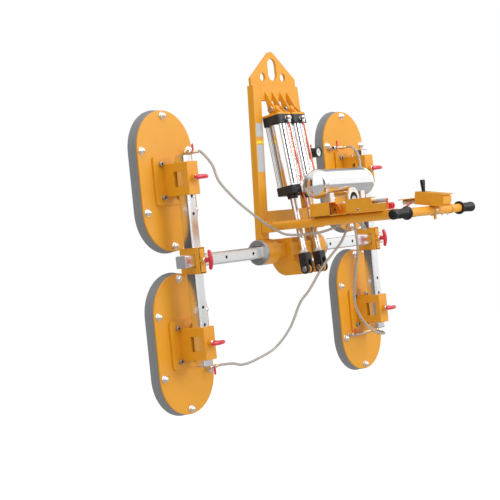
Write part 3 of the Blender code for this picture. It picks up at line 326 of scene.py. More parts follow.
def moulded(name, colour, roughness, grain, depth, coat=0.0, tone=0.08, shine=0.5):
    """A moulded skin: grain packs the noise, and depth says how far it stands up."""
    finish = Finish(name, colour, coat_weight=coat, coat_roughness=0.12, specular_ior_level=shine)
    skin = finish.noise(grain, 4)
    cloud = finish.noise(PATCH_SCALE, 2)
    finish.shade(1 - tone, 1 + tone, cloud)
    finish.set("Roughness", roughness - 0.05 + 0.10 * skin)
    finish.bump(skin, depth, 0.6)
    return finish.material


BLACK_CAST = moulded("black_cast", (0.026, 0.027, 0.030), 0.42, 600, 0.0003, 0.0, 0.25, 0.4)
BLACK_GRIP = moulded("black_grip", (0.009, 0.009, 0.010), 0.40, 350, 0.0003, 0.0, 0.2, 0.4)
RUBBER = moulded("grey_rubber", (0.235, 0.240, 0.245), 0.62, 260, 0.0004, 0.0, 0.07, 0.3)
RED = moulded("red_plastic", (0.66, 0.012, 0.035), 0.28, 300, 0.0001, 0.5)
ORANGE_TUBE = moulded("orange_tube", (0.86, 0.130, 0.016), 0.26, 200, 0.00005, 0.5)
WHITE_PLASTIC = moulded("white_flange", (0.80, 0.80, 0.79), 0.32, 300, 0.0001, 0.2)
CAP_GREY = moulded("cap_grey", (0.34, 0.35, 0.36), 0.50, 300, 0.0002)
SILENCER_GREY = moulded("silencer_grey", (0.50, 0.52, 0.54), 0.42, 300, 0.0001)
# Near black: the gauge needle's own colour, and painted shade in holes, gaps, sockets and the generator's
# bore.
BLACK_AND_SHADE = moulded("black_and_painted_shade", (0.006, 0.006, 0.006), 0.85, 200, 0.0001)

# %% [markdown]
# The vacuum hoses are clear tube with a braid of pale thread inside. Two families of threads
# wind round it in opposite turns; each is a wave of the angle round the hose plus the distance
# along it, which a UV map gives. Where the threads lie the wall is whiter and less glossy.

# %% Braided hose
FULL_TURN = 2 * math.pi
THREADS = 8
THREAD_EDGE = (0.55, 0.95)
BRAID_TURN = 0.020
WALL_COLOUR, THREAD_COLOUR = (0.30, 0.265, 0.215), (0.66, 0.63, 0.57)


def braided(name):
    """Clear wall over a diamond braid; U is turns round the hose, V is turns of braid along it."""
    finish = Finish(name, (0.44, 0.40, 0.34), coat_weight=0.5, coat_roughness=0.08)
    weave = finish.node("ShaderNodeUVMap", {"uv_map": "braid"})
    around = finish.axis("X", weave) * (THREADS * FULL_TURN)
    along = finish.axis("Y", weave) * FULL_TURN
    one = (around + along).sine().eased(*THREAD_EDGE)
    other = (around - along).sine().eased(*THREAD_EDGE)
    thread = one.math("MAXIMUM", one, other)
    finish.set("Base Color", finish.blend(WALL_COLOUR, THREAD_COLOUR, thread))
    finish.set("Roughness", 0.22 + 0.2 * thread)
    finish.set("Alpha", 0.62 + 0.33 * thread)
    finish.bump(thread, 0.0003, 0.6)
    return finish.material


BRAIDED = braided("clear_hose")
print("finishes:", len(bpy.data.materials))

# %% [markdown]
# Every new piece is a surface over a grid of points: rows of points round a shape, one row
# behind the other, joined by quads. Rows that shrink to a point close a dome, and a flat lid
# closes a plate. Doing the sums on whole arrays keeps this quick and short.

# %% Grids of points
def skin(rows, lids=True, ring=False):
    """Quads between neighbouring rows of points. A ring joins the last row to the first."""
    rows = np.asarray(rows, float)
    index = np.arange(rows.shape[0] * rows.shape[1]).reshape(rows.shape[:2])
    near = index if ring else index[:-1]
    far = np.roll(index, -1, 0) if ring else index[1:]
    quads = np.stack([near, np.roll(near, -1, 1), np.roll(far, -1, 1), far], -1)
    faces = quads.reshape(-1, 4).tolist()
    if lids and not ring:
        faces += [index[0].tolist(), index[-1].tolist()]
    return rows.reshape(-1, 3), faces


AXES = {"X": np.array([[0, 1, 0], [0, 0, 1], [1, 0, 0]]),
        "Y": np.array([[1, 0, 0], [0, 0, 1], [0, 1, 0]]),
        "Z": np.eye(3)}


def circle(radius, steps=32):
    """Points at equal angles: (radius cos a, radius sin a)."""
    angle = np.arange(steps) * 2 * np.pi / steps
    return radius * np.column_stack([np.cos(angle), np.sin(angle)])


def rounded(width, height, radius, steps=5):
    """A rectangle with quarter-circle corners: a corner's centre plus a radius at each angle."""
    angle = np.linspace(0, np.pi / 2, steps + 1)
    turns = angle + np.arange(4)[:, None] * np.pi / 2
    reach = np.array([[1, 1], [-1, 1], [-1, -1], [1, -1]]) * (width / 2 - radius, height / 2 - radius)
    curve = radius * np.stack([np.cos(turns), np.sin(turns)], -1)
    return (reach[:, None] + curve).reshape(-1, 2)


def racetrack(radius, straight, steps=32):
    """Two half circles a straight apart: the circle's points, the upper half raised."""
    angle = np.linspace(0, np.pi, steps + 1)
    top = radius * np.column_stack([np.cos(angle), np.sin(angle)]) + (0, straight)
    return np.concatenate([top, -top])


def inset(outline, distance):
    """The outline moved inwards: each point goes along the mean normal of its two edges."""
    area = np.sum(outline[:, 0] * np.roll(outline[:, 1], -1) - np.roll(outline[:, 0], -1) * outline[:, 1])
    ahead = np.roll(outline, -1, 0) - outline
    ahead = ahead / np.linalg.norm(ahead, axis=1, keepdims=True)
    mean = ahead + np.roll(ahead, 1, 0)
    mean = mean / np.linalg.norm(mean, axis=1, keepdims=True)
    share = np.clip(np.sum(mean * ahead, axis=1, keepdims=True), 0.3, 1)
    normal = np.column_stack([mean[:, 1], -mean[:, 0]]) * np.sign(area)
    return outline - normal * distance / share


def eased_levels(start, end, radius, steps=3):
    """Pairs of inset and height that round both edges of a slab by a quarter circle."""
    angle = np.linspace(0, np.pi / 2, steps + 1)
    sink = radius * (1 - np.sin(angle))
    rise = radius * (1 - np.cos(angle)) * np.sign(end - start)
    return np.concatenate([np.column_stack([sink, start + rise]),
                           np.column_stack([sink, end - rise])[::-1]])


def stacked(levels, axis="Z", centre=(0, 0, 0), ring=False):
    """Outlines one behind the other along an axis, from pairs of outline and height."""
    rows = [np.column_stack([outline, np.full(len(outline), height)]) for outline, height in levels]
    return skin(np.array(rows) @ AXES[axis] + centre, ring=ring)


def slab(outline, start, end, radius=0.001, axis="Z", centre=(0, 0, 0)):
    """An outline carried from start to end along an axis, with both edges rounded."""
    outline = np.asarray(outline, float)
    levels = [(inset(outline, sink), height) for sink, height in eased_levels(start, end, radius)]
    return stacked(levels, axis, centre)


def brick(low, high, radius=0.002):
    """A box between two corners with all its edges rounded."""
    low, high = np.asarray(low, float), np.asarray(high, float)
    width, depth, height = high - low
    radius = min(radius, 0.45 * min(width, depth, height))
    middle = (low + high) / 2
    place = (middle[0], middle[1], 0)
    return slab(rounded(width, depth, radius, 3), low[2], high[2], radius, "Z", place)


def lathe(profile, centre=(0, 0, 0), axis="Z", steps=32):
    """A profile of (radius, height) turned about an axis: radius times a unit circle."""
    profile = np.asarray(profile, float)
    unit = circle(1.0, steps)
    flat = profile[:, 0][:, None, None] * unit
    height = np.broadcast_to(profile[:, 1][:, None, None], (len(profile), steps, 1))
    rows = np.concatenate([flat, height], -1)
    return skin(rows @ AXES[axis] + centre)


def bowed(radius, start, end, corner=0.001, steps=3):
    """A lathe profile of a plain rod with rounded ends."""
    levels = eased_levels(start, end, min(corner, abs(radius) * 0.9), steps)
    body = np.column_stack([radius - levels[:, 0], levels[:, 1]])
    return np.concatenate([[(0, start)], body, [(0, end)]])


def spindle(radius, start, end, centre=(0, 0, 0), axis="Z", corner=0.001, steps=24):
    """A rod along an axis with rounded ends."""
    return lathe(bowed(radius, start, end, corner), centre, axis, steps)


def nut(radius, start, end, centre=(0, 0, 0), axis="Z"):
    """A six-sided nut or bolt head with softened edges."""
    return slab(circle(radius, 6), start, end, radius * 0.08, axis, centre)


# %% [markdown]
# A hose is a small circle carried along a curve. The circle has to be turned so that it always
# faces along the curve without twisting. Each step keeps the last step's side direction and
# takes out the part of it that points along the new tangent.

# %% Tubes along a curve
def smooth_path(points, spacing=0.006):
    """Even points on a Catmull-Rom curve: each span is a cubic through its two end points."""
    points = np.asarray(points, float)
    ends = np.concatenate([[2 * points[0] - points[1]], points, [2 * points[-1] - points[-2]]])
    a, b, c, d = (ends[i:len(ends) - 3 + i, None] for i in range(4))
    t = np.linspace(0, 1, 24, endpoint=False)[None, :, None]
    spans = 0.5 * (2 * b + (c - a) * t + (2 * a - 5 * b + 4 * c - d) * t ** 2
                   + (3 * b - a - 3 * c + d) * t ** 3)
    fine = np.concatenate([spans.reshape(-1, 3), points[-1:]])
    walked = np.concatenate([[0], np.cumsum(np.linalg.norm(np.diff(fine, axis=0), axis=1))])
    even = np.linspace(0, walked[-1], max(4, int(walked[-1] / spacing)))
    return np.column_stack([np.interp(even, walked, fine[:, i]) for i in range(3)])


def path_length(path):
    """The sum of the steps along a path."""
    return float(np.linalg.norm(np.diff(path, axis=0), axis=1).sum())


def tube(path, radius, steps=16):
    """Circles across a path; the side directions are carried along so that they don't twist."""
    path = np.asarray(path, float)
    tangent = np.gradient(path, axis=0)
    tangent = tangent / np.linalg.norm(tangent, axis=1, keepdims=True)
    side = np.cross(tangent[0], np.eye(3)[np.argmin(abs(tangent[0]))])
    sides = []
    for way in tangent:
        side = side - way * (side @ way)
        side = side / np.linalg.norm(side)
        sides.append(side)
    sides = np.array(sides)
    across = np.cross(tangent, sides)
    radii = np.broadcast_to(radius, len(path))[:, None, None]
    unit = circle(1.0, steps)
    ring = unit[None, :, :1] * sides[:, None] + unit[None, :, 1:] * across[:, None]
    return skin(path[:, None] + radii * ring)


# %% [markdown]
# `piece` turns one or more grids into an object that rides on a body. Points that coincide are
# welded, so domes and lids close, and the faces are turned outwards. Edges sharper than a
# chosen angle stay crisp; all the others are shaded smooth.

# %% Make a piece
WELD_DISTANCE = 1e-6


def moved(part, place=(0, 0, 0), turn=None):
    """A grid turned by a 3 by 3 matrix and carried to a place."""
    points, faces = part
    if turn is not None:
        points = points @ np.asarray(turn).T
    return points + np.asarray(place, float), faces


def level_flats(obj):
    """Shade by face area, so a large flat face stays flat up to its rounded edge."""
    weigh = obj.modifiers.new("Weighted Normal", "WEIGHTED_NORMAL")
    weigh.keep_sharp = True


def piece(name, parts, finish, body="frame", replaces=(), crease=32):
    """One object from grids of points, on a CAD body, standing for the CAD nodes it replaces."""
    points, faces, count = [], [], 0
    for part_points, part_faces in parts:
        points.append(part_points)
        faces += [[count + i for i in face] for face in part_faces]
        count += len(part_points)
    mesh = bpy.data.meshes.new(name)
    mesh.from_pydata((np.concatenate(points) + HUB).tolist(), [], faces)
    work = bmesh.new()
    work.from_mesh(mesh)
    bmesh.ops.remove_doubles(work, verts=work.verts, dist=WELD_DISTANCE)
    bmesh.ops.recalc_face_normals(work, faces=work.faces)
    work.to_mesh(mesh)
    work.free()
    mesh.materials.append(finish)
    mesh.shade_smooth()
    mesh.set_sharp_from_angle(angle=math.radians(crease))
    obj = placed(name, mesh)
    level_flats(obj)
    if body:
        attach(obj, body)
    if replaces:
        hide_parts(*replaces)
    return obj


# %% [markdown]
# Many painted plates already have the right shape in the CAD model, but their edges are knife
# sharp. A real plate is deburred before it is painted, so its edges catch a thin line of light.
# A copy of the node gets its triangles merged back into flat faces, then a small Bevel. The hub
# tube is painted between its housings and bare outside them, so its finish is chosen by place.

# %% Soften the edges of CAD plates
BEVEL_WIDTH = 0.0013
THIN_BEVEL = 0.0008
BEVEL_ANGLE, CREASE_ANGLE = math.radians(40), math.radians(35)
FLAT_ANGLE = math.radians(0.5)
MERGE_DISTANCE = 1e-5


def softened(node, finishes, body="frame", chooser=None, width=BEVEL_WIDTH):
    """A copy of a CAD node with rounded edges. chooser picks a finish for each face's middle."""
    work = bmesh.new()
    work.from_mesh(NODES[node].data)
    bmesh.ops.remove_doubles(work, verts=work.verts, dist=MERGE_DISTANCE)
    bmesh.ops.dissolve_limit(work, angle_limit=FLAT_ANGLE, verts=work.verts, edges=work.edges)
    mesh = bpy.data.meshes.new(node + "_soft")
    work.to_mesh(mesh)
    work.free()
    mesh.materials.clear()
    for finish in finishes:
        mesh.materials.append(finish)
    centres = np.zeros(len(mesh.polygons) * 3)
    mesh.polygons.foreach_get("center", centres)
    choice = np.zeros(len(mesh.polygons), np.int32)
    if chooser:
        choice[:] = chooser(centres.reshape(-1, 3) - HUB)
    mesh.polygons.foreach_set("material_index", choice)
    obj = placed(node + "_soft", mesh)
    bevel = obj.modifiers.new("Bevel", "BEVEL")
    bevel.width = width
    bevel.segments = 2
    bevel.limit_method = "ANGLE"
    bevel.angle_limit = BEVEL_ANGLE
    bevel.use_clamp_overlap = True
    bpy.context.view_layer.update()
    graph = bpy.context.evaluated_depsgraph_get()
    finished = bpy.data.meshes.new_from_object(obj.evaluated_get(graph))
    obj.modifiers.clear()
    obj.data = finished
    finished.shade_smooth()
    finished.set_sharp_from_angle(angle=CREASE_ANGLE)
    level_flats(obj)
    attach(obj, body)
    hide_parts(node)
    return obj


FRAME_PLATES = ("lifting_lug", "upright_left", "upright_right", "cross_member",
                "bearing_housing_left", "bearing_housing_right", "head_beam",
                "control_arm_left", "control_arm_right")
HOUSING_END = 0.205


def outside_housings(centres):
    """1 where a face lies past a bearing housing, 0 between the housings."""
    return (abs(centres[:, 0]) > HOUSING_END).astype(int)


for plate in FRAME_PLATES:
    softened(plate, [PAINT])
for name, side in SIDES:
    softened("tilt_lever_" + name, [PAINT], "beam")
softened("hub_tube", [PAINT, STEEL], "beam", outside_housings)
for name, side in SIDES:
    softened("bearing_bush_" + name, [SATIN], "beam")
print("softened plates:", len(FRAME_PLATES) + 1 + 2 * len(SIDES))

# %% [markdown]
# The long square tubes are bright zinc plated steel. A row of holes takes the pull pins, and grey
# plastic caps close the ends. A small black disc just inside each hole is painted shade, standing in
# for the dark inside of the tube.

# %% Cross tube
TUBE = 0.050
HOLE_RADIUS = 0.0069
HOLE_SINK, HOLE_SHADE_THICK = 0.0015, 0.001
CROSS_HALF = box_of("cross_tube")[1][0]
COLUMN_X = middle_of("column_right")[0]
CROSS_HOLES = (0.280, 0.457, COLUMN_X)
CAP_THICK = 0.003
CAP_SIZE = TUBE - 0.001


def hole_shade_disc(x, z):
    """A black disc of painted shade just inside a hole in the front wall of a square tube."""
    return spindle(HOLE_RADIUS, 0, HOLE_SHADE_THICK, (x, HOLE_SINK - TUBE / 2, z), "Y")


def tube_cap(place, way, axis):
    """A plastic cap over the end of a square tube."""
    return slab(rounded(CAP_SIZE, CAP_SIZE, 0.006), 0, way * CAP_THICK, 0.0012, axis, place)


softened("cross_tube", [ZINC_ALONG_X], "beam", width=THIN_BEVEL)
# Black discs of painted shade sit just inside the cross tube's holes.
piece("cross_tube_hole_shade", [hole_shade_disc(side * x, 0) for x in CROSS_HOLES for _, side in SIDES], BLACK_AND_SHADE, "beam")
piece("cross_tube_caps", [tube_cap((side * CROSS_HALF, 0, 0), side, "X") for _, side in SIDES],
      CAP_GREY, "beam")
print("cross tube length:", round(2 * CROSS_HALF, 3))

# %% [markdown]
# Each column is one welded piece: a painted clamp that hooks over the cross tube, and a zinc
# plated square tube above and below it. They share a CAD node, so the finish is chosen by height.
# The clamp's front carries two cover plates with round corners, each on a slightly larger black
# plate that paints the shade of the gap round it.

# %% Columns
CLAMP_TOP = 0.0531
CLAMP_FRONT = -0.0456
COLUMN_HOLES = (0.187, 0.257, 0.330)
COVER_WIDTH, COVER_HEIGHT = 0.0290, 0.0400
COVER_GAP = 0.0055
COVER_Z = 0.0275


def is_tube(centres):
    """1 where a face lies above or below the clamp, 0 on the clamp."""
    return (abs(centres[:, 2]) > CLAMP_TOP + 0.0002).astype(int)


def clamp_plates(x, margin, corner, thick, edge):
    """Two rounded plates on the clamp's front, each larger than a cover by a margin."""
    outline = rounded(COVER_WIDTH + margin, COVER_HEIGHT + margin, corner)
    return [slab(outline, CLAMP_FRONT, CLAMP_FRONT - thick, edge, "Y", (x, 0, end * COVER_Z))
            for end in (-1, 1)]


for name, side in SIDES:
    body = "column_" + name
    x = side * COLUMN_X
    low, high = box_of(body)
    softened(body, [PAINT, ZINC_UPRIGHT], body, is_tube, THIN_BEVEL)
    # Black discs of painted shade sit just inside the column's pin holes.
    piece(body + "_hole_shade", [hole_shade_disc(x, end * z) for z in COLUMN_HOLES for end in (-1, 1)], BLACK_AND_SHADE, body)
    piece(body + "_caps", [tube_cap((x, 0, high[2]), 1, "Z"), tube_cap((x, 0, low[2]), -1, "Z")],
          CAP_GREY, body)
    # A black plate behind each cover paints the shade in the gap round it.
    piece(body + "_cover_gap_shade", clamp_plates(x, COVER_GAP, 0.006, 0.0006, 0.0002), BLACK_AND_SHADE, body)
    piece(body + "_cover", clamp_plates(x, 0, 0.0045, 0.0018, 0.0008), PAINT, body)
    print(body, "is", round(high[2] - low[2], 3), "m tall")

# %% [markdown]
# A pull pin is a steel pin with a red T handle. The handle is thickest at the middle and its
# wings bend back a little, so it fits two fingers. It is a tube along a shallow bow whose radius
# falls off towards the tips, on a short round hub.

# %% Pull pins
T_HALF = 0.040
T_RADIUS = 0.0092
T_BOW = 0.007
T_TAPER = 0.28
PIN_RADIUS = 0.0065


def pull_handle(centre, upright):
    """The T: a bowed bar whose radius eases down to its round tips."""
    t = np.linspace(-1, 1, 41)
    along = T_HALF * t
    back = T_BOW * t ** 2
    zero = np.zeros_like(t)
    path = np.column_stack([zero, back, along] if upright else [along, back, zero])
    radius = T_RADIUS * (1 - T_TAPER * t ** 2) * np.sqrt(np.clip(1 - t ** 22, 0.02, 1))
    hub = lathe([(0, 0.0355), (0.0095, 0.0355), (0.0105, 0.0330), (0.0098, 0.018), (0.0090, 0.0)],
                centre, "Y", 24)
    return [moved(tube(path, radius, 20), centre), hub]


def pull_pin(node, collar, upright):
    """Handle in front, a thin collar on the boss, and the steel pin through both."""
    low, high = box_of(node)
    x, z = (low[0] + high[0]) / 2, (low[2] + high[2]) / 2
    bar_y = low[1] + 0.010
    piece(node + "_handle", pull_handle((x, bar_y, z), upright), RED, node, (node,))
    stem = spindle(PIN_RADIUS, bar_y + 0.012, high[1], (x, 0, z), "Y", 0.0015)
    front, back = collar - 0.0045, collar - 0.0002
    ring = lathe([(0, front), (0.0095, front), (0.0120, back), (0, back)], (x, 0, z), "Y", 24)
    piece(node + "_stem", [stem, ring], STEEL, node)


for name, side in SIDES:
    pull_pin("column_pin_" + name, box_of("column_" + name)[0][1], True)

# %% [markdown]
# A pad is a racetrack plate with a thick grey seal behind it. Its edge is rounded, and six acorn
# nuts on washers hold the seal's ring. The plate is the pad's outline carried through its
# thickness, and the seal is the same outline carried round a closed section with a soft lip.

# %% Pad plates and seals
SEAL_LOW, SEAL_HIGH = box_of("pad_seal_upper_left")
PAD_LIP = (SEAL_HIGH[0] - SEAL_LOW[0]) / 2
PAD_STRAIGHT = (SEAL_HIGH[2] - SEAL_LOW[2]) / 2 - PAD_LIP
PAD_RADIUS = PAD_LIP - 0.006
PAD_FRONT = 0.0925
PAD_BACK = PAD_FRONT + 0.008
PANEL_Y = SEAL_HIGH[1]
SEAL_BORE = 0.112
NUT_RING = 0.1405
WASHER_RADIUS, NUT_RADIUS, DOME_RADIUS = 0.0160, 0.0142, 0.0112
SEAL_SECTION = [(SEAL_BORE, 0.1030), (SEAL_BORE + 0.002, PAD_BACK + 0.0003),
                (PAD_RADIUS - 0.004, PAD_BACK + 0.0003), (PAD_RADIUS - 0.001, 0.1022),
                (PAD_RADIUS + 0.001, 0.1045), (PAD_RADIUS + 0.0018, 0.1075),
                (PAD_RADIUS + 0.0018, 0.1165), (PAD_RADIUS + 0.0008, 0.1180),
                (PAD_RADIUS + 0.0008, 0.1192), (PAD_RADIUS + 0.0022, 0.1210),
                (PAD_LIP - 0.0022, 0.1290), (PAD_LIP, 0.1365), (PAD_LIP - 0.0004, 0.1400),
                (PAD_LIP - 0.0030, PANEL_Y), (SEAL_BORE + 0.020, PANEL_Y),
                (SEAL_BORE + 0.006, 0.1385), (SEAL_BORE, 0.1320)]


def acorn_nut(x, z):
    """A washer, a hexagon and a dome, one behind the other."""
    angle = np.linspace(0, np.pi / 2, 8)
    dome = np.column_stack([DOME_RADIUS * np.cos(angle), PAD_FRONT - 0.0090 - 0.0105 * np.sin(angle)])
    foot = [(0, PAD_FRONT - 0.0070), (DOME_RADIUS, PAD_FRONT - 0.0070)]
    return [spindle(WASHER_RADIUS, PAD_FRONT + 0.0005, PAD_FRONT - 0.0025, (x, 0, z), "Y", 0.0008),
            nut(NUT_RADIUS, PAD_FRONT - 0.0022, PAD_FRONT - 0.0098, (x, 0, z), "Y"),
            lathe(np.concatenate([foot, dome]), (x, 0, z), "Y", 20)]


def pad_seal(label, centre):
    """The seal's section carried round the racetrack: one outline for each point of the section."""
    levels = [(racetrack(radius, PAD_STRAIGHT), y) for radius, y in SEAL_SECTION]
    piece("seal_" + label, [stacked(levels, "Y", centre, ring=True)], RUBBER, "pad_" + label,
          ("pad_seal_" + label,), 50)


def pad_plate(label, centre):
    """The painted plate and its six nuts."""
    plate = slab(racetrack(PAD_RADIUS, PAD_STRAIGHT), PAD_FRONT, PAD_BACK, 0.0014, "Y", centre)
    piece("plate_" + label, [plate], PAINT, "pad_" + label, ("pad_plate_" + label,))
    places = [(0, end * (PAD_STRAIGHT + NUT_RING)) for end in (-1, 1)]
    places += [(u * NUT_RING, v * PAD_STRAIGHT) for u in (-1, 1) for v in (-1, 1)]
    nuts = [part for u, v in places for part in acorn_nut(centre[0] + u, centre[2] + v)]
    piece("nuts_" + label, nuts, NUT_CHROME, "pad_" + label)


# %% [markdown]
# On every pad a short row of fittings joins the hose to the suction hole: an elbow screwed in the
# plate, a ball valve with a red lever, a filter body and a hose barb. They are all round parts on
# one line, so one lathe profile with steps gives the row.

# %% Vacuum fittings
VALVE_X = 0.118
VALVE_Y = 0.0625
VALVE_Z = 0.111
ROW_ENDS = {"upper_left": 0.150, "lower_left": 0.150, "upper_right": -0.045, "lower_right": 0.040}
BARB_LENGTH = 0.014
BARB_POINTS = 15
TOOTH = np.arange(BARB_POINTS) % 5 / 4
CORE_RADIUS, TOOTH_HEIGHT = 0.0040, 0.0012
BEND = 0.009
HOSE_RADIUS = 0.0055


def fitting_row(label, side, up, centre):
    """Elbow, valve body, filter and barb along X, in steel and brass."""
    body = "pad_" + label
    start = -side * VALVE_X
    end = ROW_ENDS[label]
    line = (centre[0], VALVE_Y, centre[2] + up * VALVE_Z)
    elbow = spindle(0.0070, 0, PAD_FRONT - VALVE_Y + 0.001, (line[0] + start, VALVE_Y, line[2]), "Y")
    collar = nut(0.0105, PAD_FRONT - 0.007, PAD_FRONT + 0.0005, (line[0] + start, 0, line[2]), "Y")
    first = min(start - 0.0135, end)
    span = end - first
    joint, shoulder = first + 0.60 * span, first + 0.82 * span
    valve = [(0, first), (0.0070, first), (0.0078, first + 0.002), (0.0078, first + 0.006),
             (0.0088, first + 0.007), (0.0088, first + 0.022), (0.0066, first + 0.024),
             (0.0066, joint), (0, joint)]
    tail = [(0, joint), (0.0066, joint), (0.0082, joint + 0.001), (0.0082, shoulder),
            (0.0070, first + 0.83 * span), (0.0070, end - 0.006), (0.0062, end - 0.004),
            (0.0062, end), (0, end)]
    piece("valve_body_" + label, [lathe(valve, line, "X"), elbow, collar], STEEL, body)
    piece("filter_" + label, [lathe(tail, line, "X")], BRASS, body)
    ridges = np.linspace(0, BARB_LENGTH, BARB_POINTS)
    teeth = CORE_RADIUS + TOOTH_HEIGHT * (1 - TOOTH)
    if side < 0:
        profile = np.column_stack([teeth, end + ridges])
        barb = lathe(np.concatenate([[(0, end)], profile, [(0, end + BARB_LENGTH)]]), line, "X", 20)
    else:
        profile = np.column_stack([teeth, -0.0085 - ridges])
        closed = [[(0, 0)], [(teeth[0], 0)], profile, [(0, -0.0085 - BARB_LENGTH)]]
        barb = lathe(np.concatenate(closed), (line[0] + end - BEND, VALVE_Y, line[2]), "Y", 20)
    piece("barb_" + label, [barb], BRASS, body)


def valve_lever(label, side, up, centre):
    """A pressed lever: a flat blade with round ends and a shallow rib, on a small cap nut."""
    node = "valve_lever_" + label
    low, high = box_of(node)
    x = centre[0] - side * VALVE_X
    hub_z = centre[2] + up * VALVE_Z
    tip = high[2] if high[2] - hub_z > hub_z - low[2] else low[2]
    z = (low[2] + high[2]) / 2
    length = high[2] - low[2]
    blade = slab(rounded(0.0115, length, 0.0055), low[1] + 0.0030, low[1], 0.0008, "Y", (x, 0, z))
    grip = slab(rounded(0.0062, length * 0.55, 0.003), low[1] + 0.001, low[1] - 0.0018, 0.0012, "Y",
                (x, 0, (tip + z) / 2))
    piece(node + "_blade", [blade, grip], RED, node, (node,))
    piece(node + "_nut", [nut(0.0048, low[1] + 0.001, low[1] - 0.0028, (x, 0, hub_z), "Y"),
                          spindle(0.0045, high[1], low[1] + 0.001, (x, 0, hub_z), "Y")], STEEL, node)


# %% [markdown]
# The sleeve is a folded housing welded on a base plate, and four socket screws hold it to the
# pad. Its shape comes from the CAD node with soft edges. The screws get their own heads: a short
# cylinder with a hexagon sunk in the middle, drawn here as a flat black hexagon of painted shade.

# %% Pad sleeves
SLEEVE_SCREW_X = 0.046
SLEEVE_SCREW_Z = 0.067
SLEEVE_PLATE_Y = 0.0842


def pad_sleeve(label, centre):
    """The housing and base plate, four screw heads and a black hexagon of painted shade in each socket."""
    body = "pad_" + label
    softened("pad_sleeve_" + label, [PAINT], body, None, 0.001)
    places = [(centre[0] + u * SLEEVE_SCREW_X, 0, centre[2] + v * SLEEVE_SCREW_Z)
              for u in (-1, 1) for v in (-1, 1)]
    heads = [spindle(0.0105, SLEEVE_PLATE_Y + 0.001, SLEEVE_PLATE_Y - 0.0115, place, "Y", 0.0014)
             for place in places]
    # Each socket is a flat black hexagon of painted shade.
    sockets = [nut(0.0056, SLEEVE_PLATE_Y - 0.0107, SLEEVE_PLATE_Y - 0.0117, place, "Y")
               for place in places]
    piece("sleeve_screws_" + label, heads, GREY_METAL, body)
    piece("sleeve_socket_shade_" + label, sockets, BLACK_AND_SHADE, body)


for row, up in ROWS:
    for name, side in SIDES:
        label = row + "_" + name
        centre = middle_of("pad_seal_" + label) * (1, 0, 1)
        pad_seal(label, centre)
        pad_plate(label, centre)
        fitting_row(label, side, up, centre)
        valve_lever(label, side, up, centre)
        pad_sleeve(label, centre)
        pull_pin("sleeve_pin_" + label, box_of("pad_sleeve_" + label)[0][1], False)
        print("pad", label, "is centred at", centre.round(3).tolist())

# %% [markdown]
# Two pneumatic cylinders tilt the beam. Each is drawn hanging straight down from its top pin, in
# its own axes, and one turn about X carries it to its place. The chromed barrel is held between
# two black caps by four tie rods, and a painted base plate with an ear hangs it from the head.

# %% Tilt cylinders
def turn_about_x(angle):
    """The 3 by 3 matrix that turns Y towards Z by an angle."""
    return np.array([[1, 0, 0],
                     [0, math.cos(angle), -math.sin(angle)],
                     [0, math.sin(angle), math.cos(angle)]])


TOP_PIN = np.array([0.0, -0.040, 0.604])
LEVER_PIN = np.array([0.0, -0.127, -0.090])
CYLINDER_X = 0.052
PIN_DISTANCE = float(np.linalg.norm(LEVER_PIN - TOP_PIN))
TURN = turn_about_x(math.asin((LEVER_PIN[1] - TOP_PIN[1]) / PIN_DISTANCE))
CAP = 0.093
CAP_FACE = -CAP / 2
BASE_START, CAP_START, CAP_END = 0.022, 0.031, 0.071
LOW_CAP_START, LOW_CAP_END, GLAND_END = 0.338, 0.374, 0.392
BARREL_RADIUS = 0.043
EAR_RADIUS, EAR_HALF = 0.019, 0.0085
GUSSET_X, GUSSET_HALF = 0.0195, 0.0025
TIE_PITCH, TIE_RADIUS = 0.036, 0.0052
ROD_RADIUS = 0.0125
TUBE_X = 0.002
TUBE_FRONT = CAP / 2 + 0.012
PORT = (CAP_START + CAP_END) / 2
LOW_PORT = (LOW_CAP_START + LOW_CAP_END) / 2


def hung(parts, side):
    """Parts drawn about the top pin, turned and carried to one cylinder's place."""
    return [moved(part, TOP_PIN + (side * CYLINDER_X, 0, 0), TURN) for part in parts]


def cylinder(name, side):
    """Base plate with its ear and gussets, caps, barrel and tie rods of one cylinder."""
    body = "cylinder_" + name
    cap = rounded(CAP, CAP, 0.010)
    angle = np.linspace(0, np.pi, 17)
    foot = -BASE_START - 0.001
    ear = np.concatenate([EAR_RADIUS * np.column_stack([np.cos(angle), np.sin(angle)]),
                          [(-CAP * 0.42, foot), (CAP * 0.42, foot)]])
    gusset = [(-0.0455, foot), (-0.0440, 0.004 - BASE_START), (-0.016, 0.012), (0, 0.018), (0, -0.023)]
    base = [slab(cap, -CAP_START, -BASE_START, 0.0012), slab(ear, -EAR_HALF, EAR_HALF, 0.001, "X")]
    base += [slab(gusset, x - GUSSET_HALF, x + GUSSET_HALF, 0.0008, "X") for x in (-GUSSET_X, GUSSET_X)]
    piece("cylinder_base_" + name, hung(base, side), PAINT, body, ("tilt_cylinder_" + name,))
    gland = lathe([(0, -LOW_CAP_END), (0.0245, -LOW_CAP_END), (0.0245, -LOW_CAP_END - 0.006),
                   (0.0225, -LOW_CAP_END - 0.008), (0.0225, 0.001 - GLAND_END), (0.0210, -GLAND_END),
                   (0.0135, -GLAND_END), (0.0135, 0.002 - GLAND_END), (0, 0.002 - GLAND_END)])
    caps = [slab(cap, -CAP_END, -CAP_START - 0.0003, 0.0016),
            slab(cap, -LOW_CAP_END, -LOW_CAP_START, 0.0016)]
    piece("cylinder_caps_" + name, hung(caps + [gland], side), BLACK_CAST, body)
    low_end, high_end = -LOW_CAP_START - 0.001, -CAP_END + 0.001
    barrel = lathe([(BARREL_RADIUS, low_end), (BARREL_RADIUS, high_end)], steps=72)
    piece("barrel_" + name, hung([barrel], side), CHROME, body)
    ties = [spindle(TIE_RADIUS, low_end, high_end, (u * TIE_PITCH, v * TIE_PITCH, 0))
            for u in (-1, 1) for v in (-1, 1)]
    piece("tie_rods_" + name, hung(ties, side), STEEL, body)


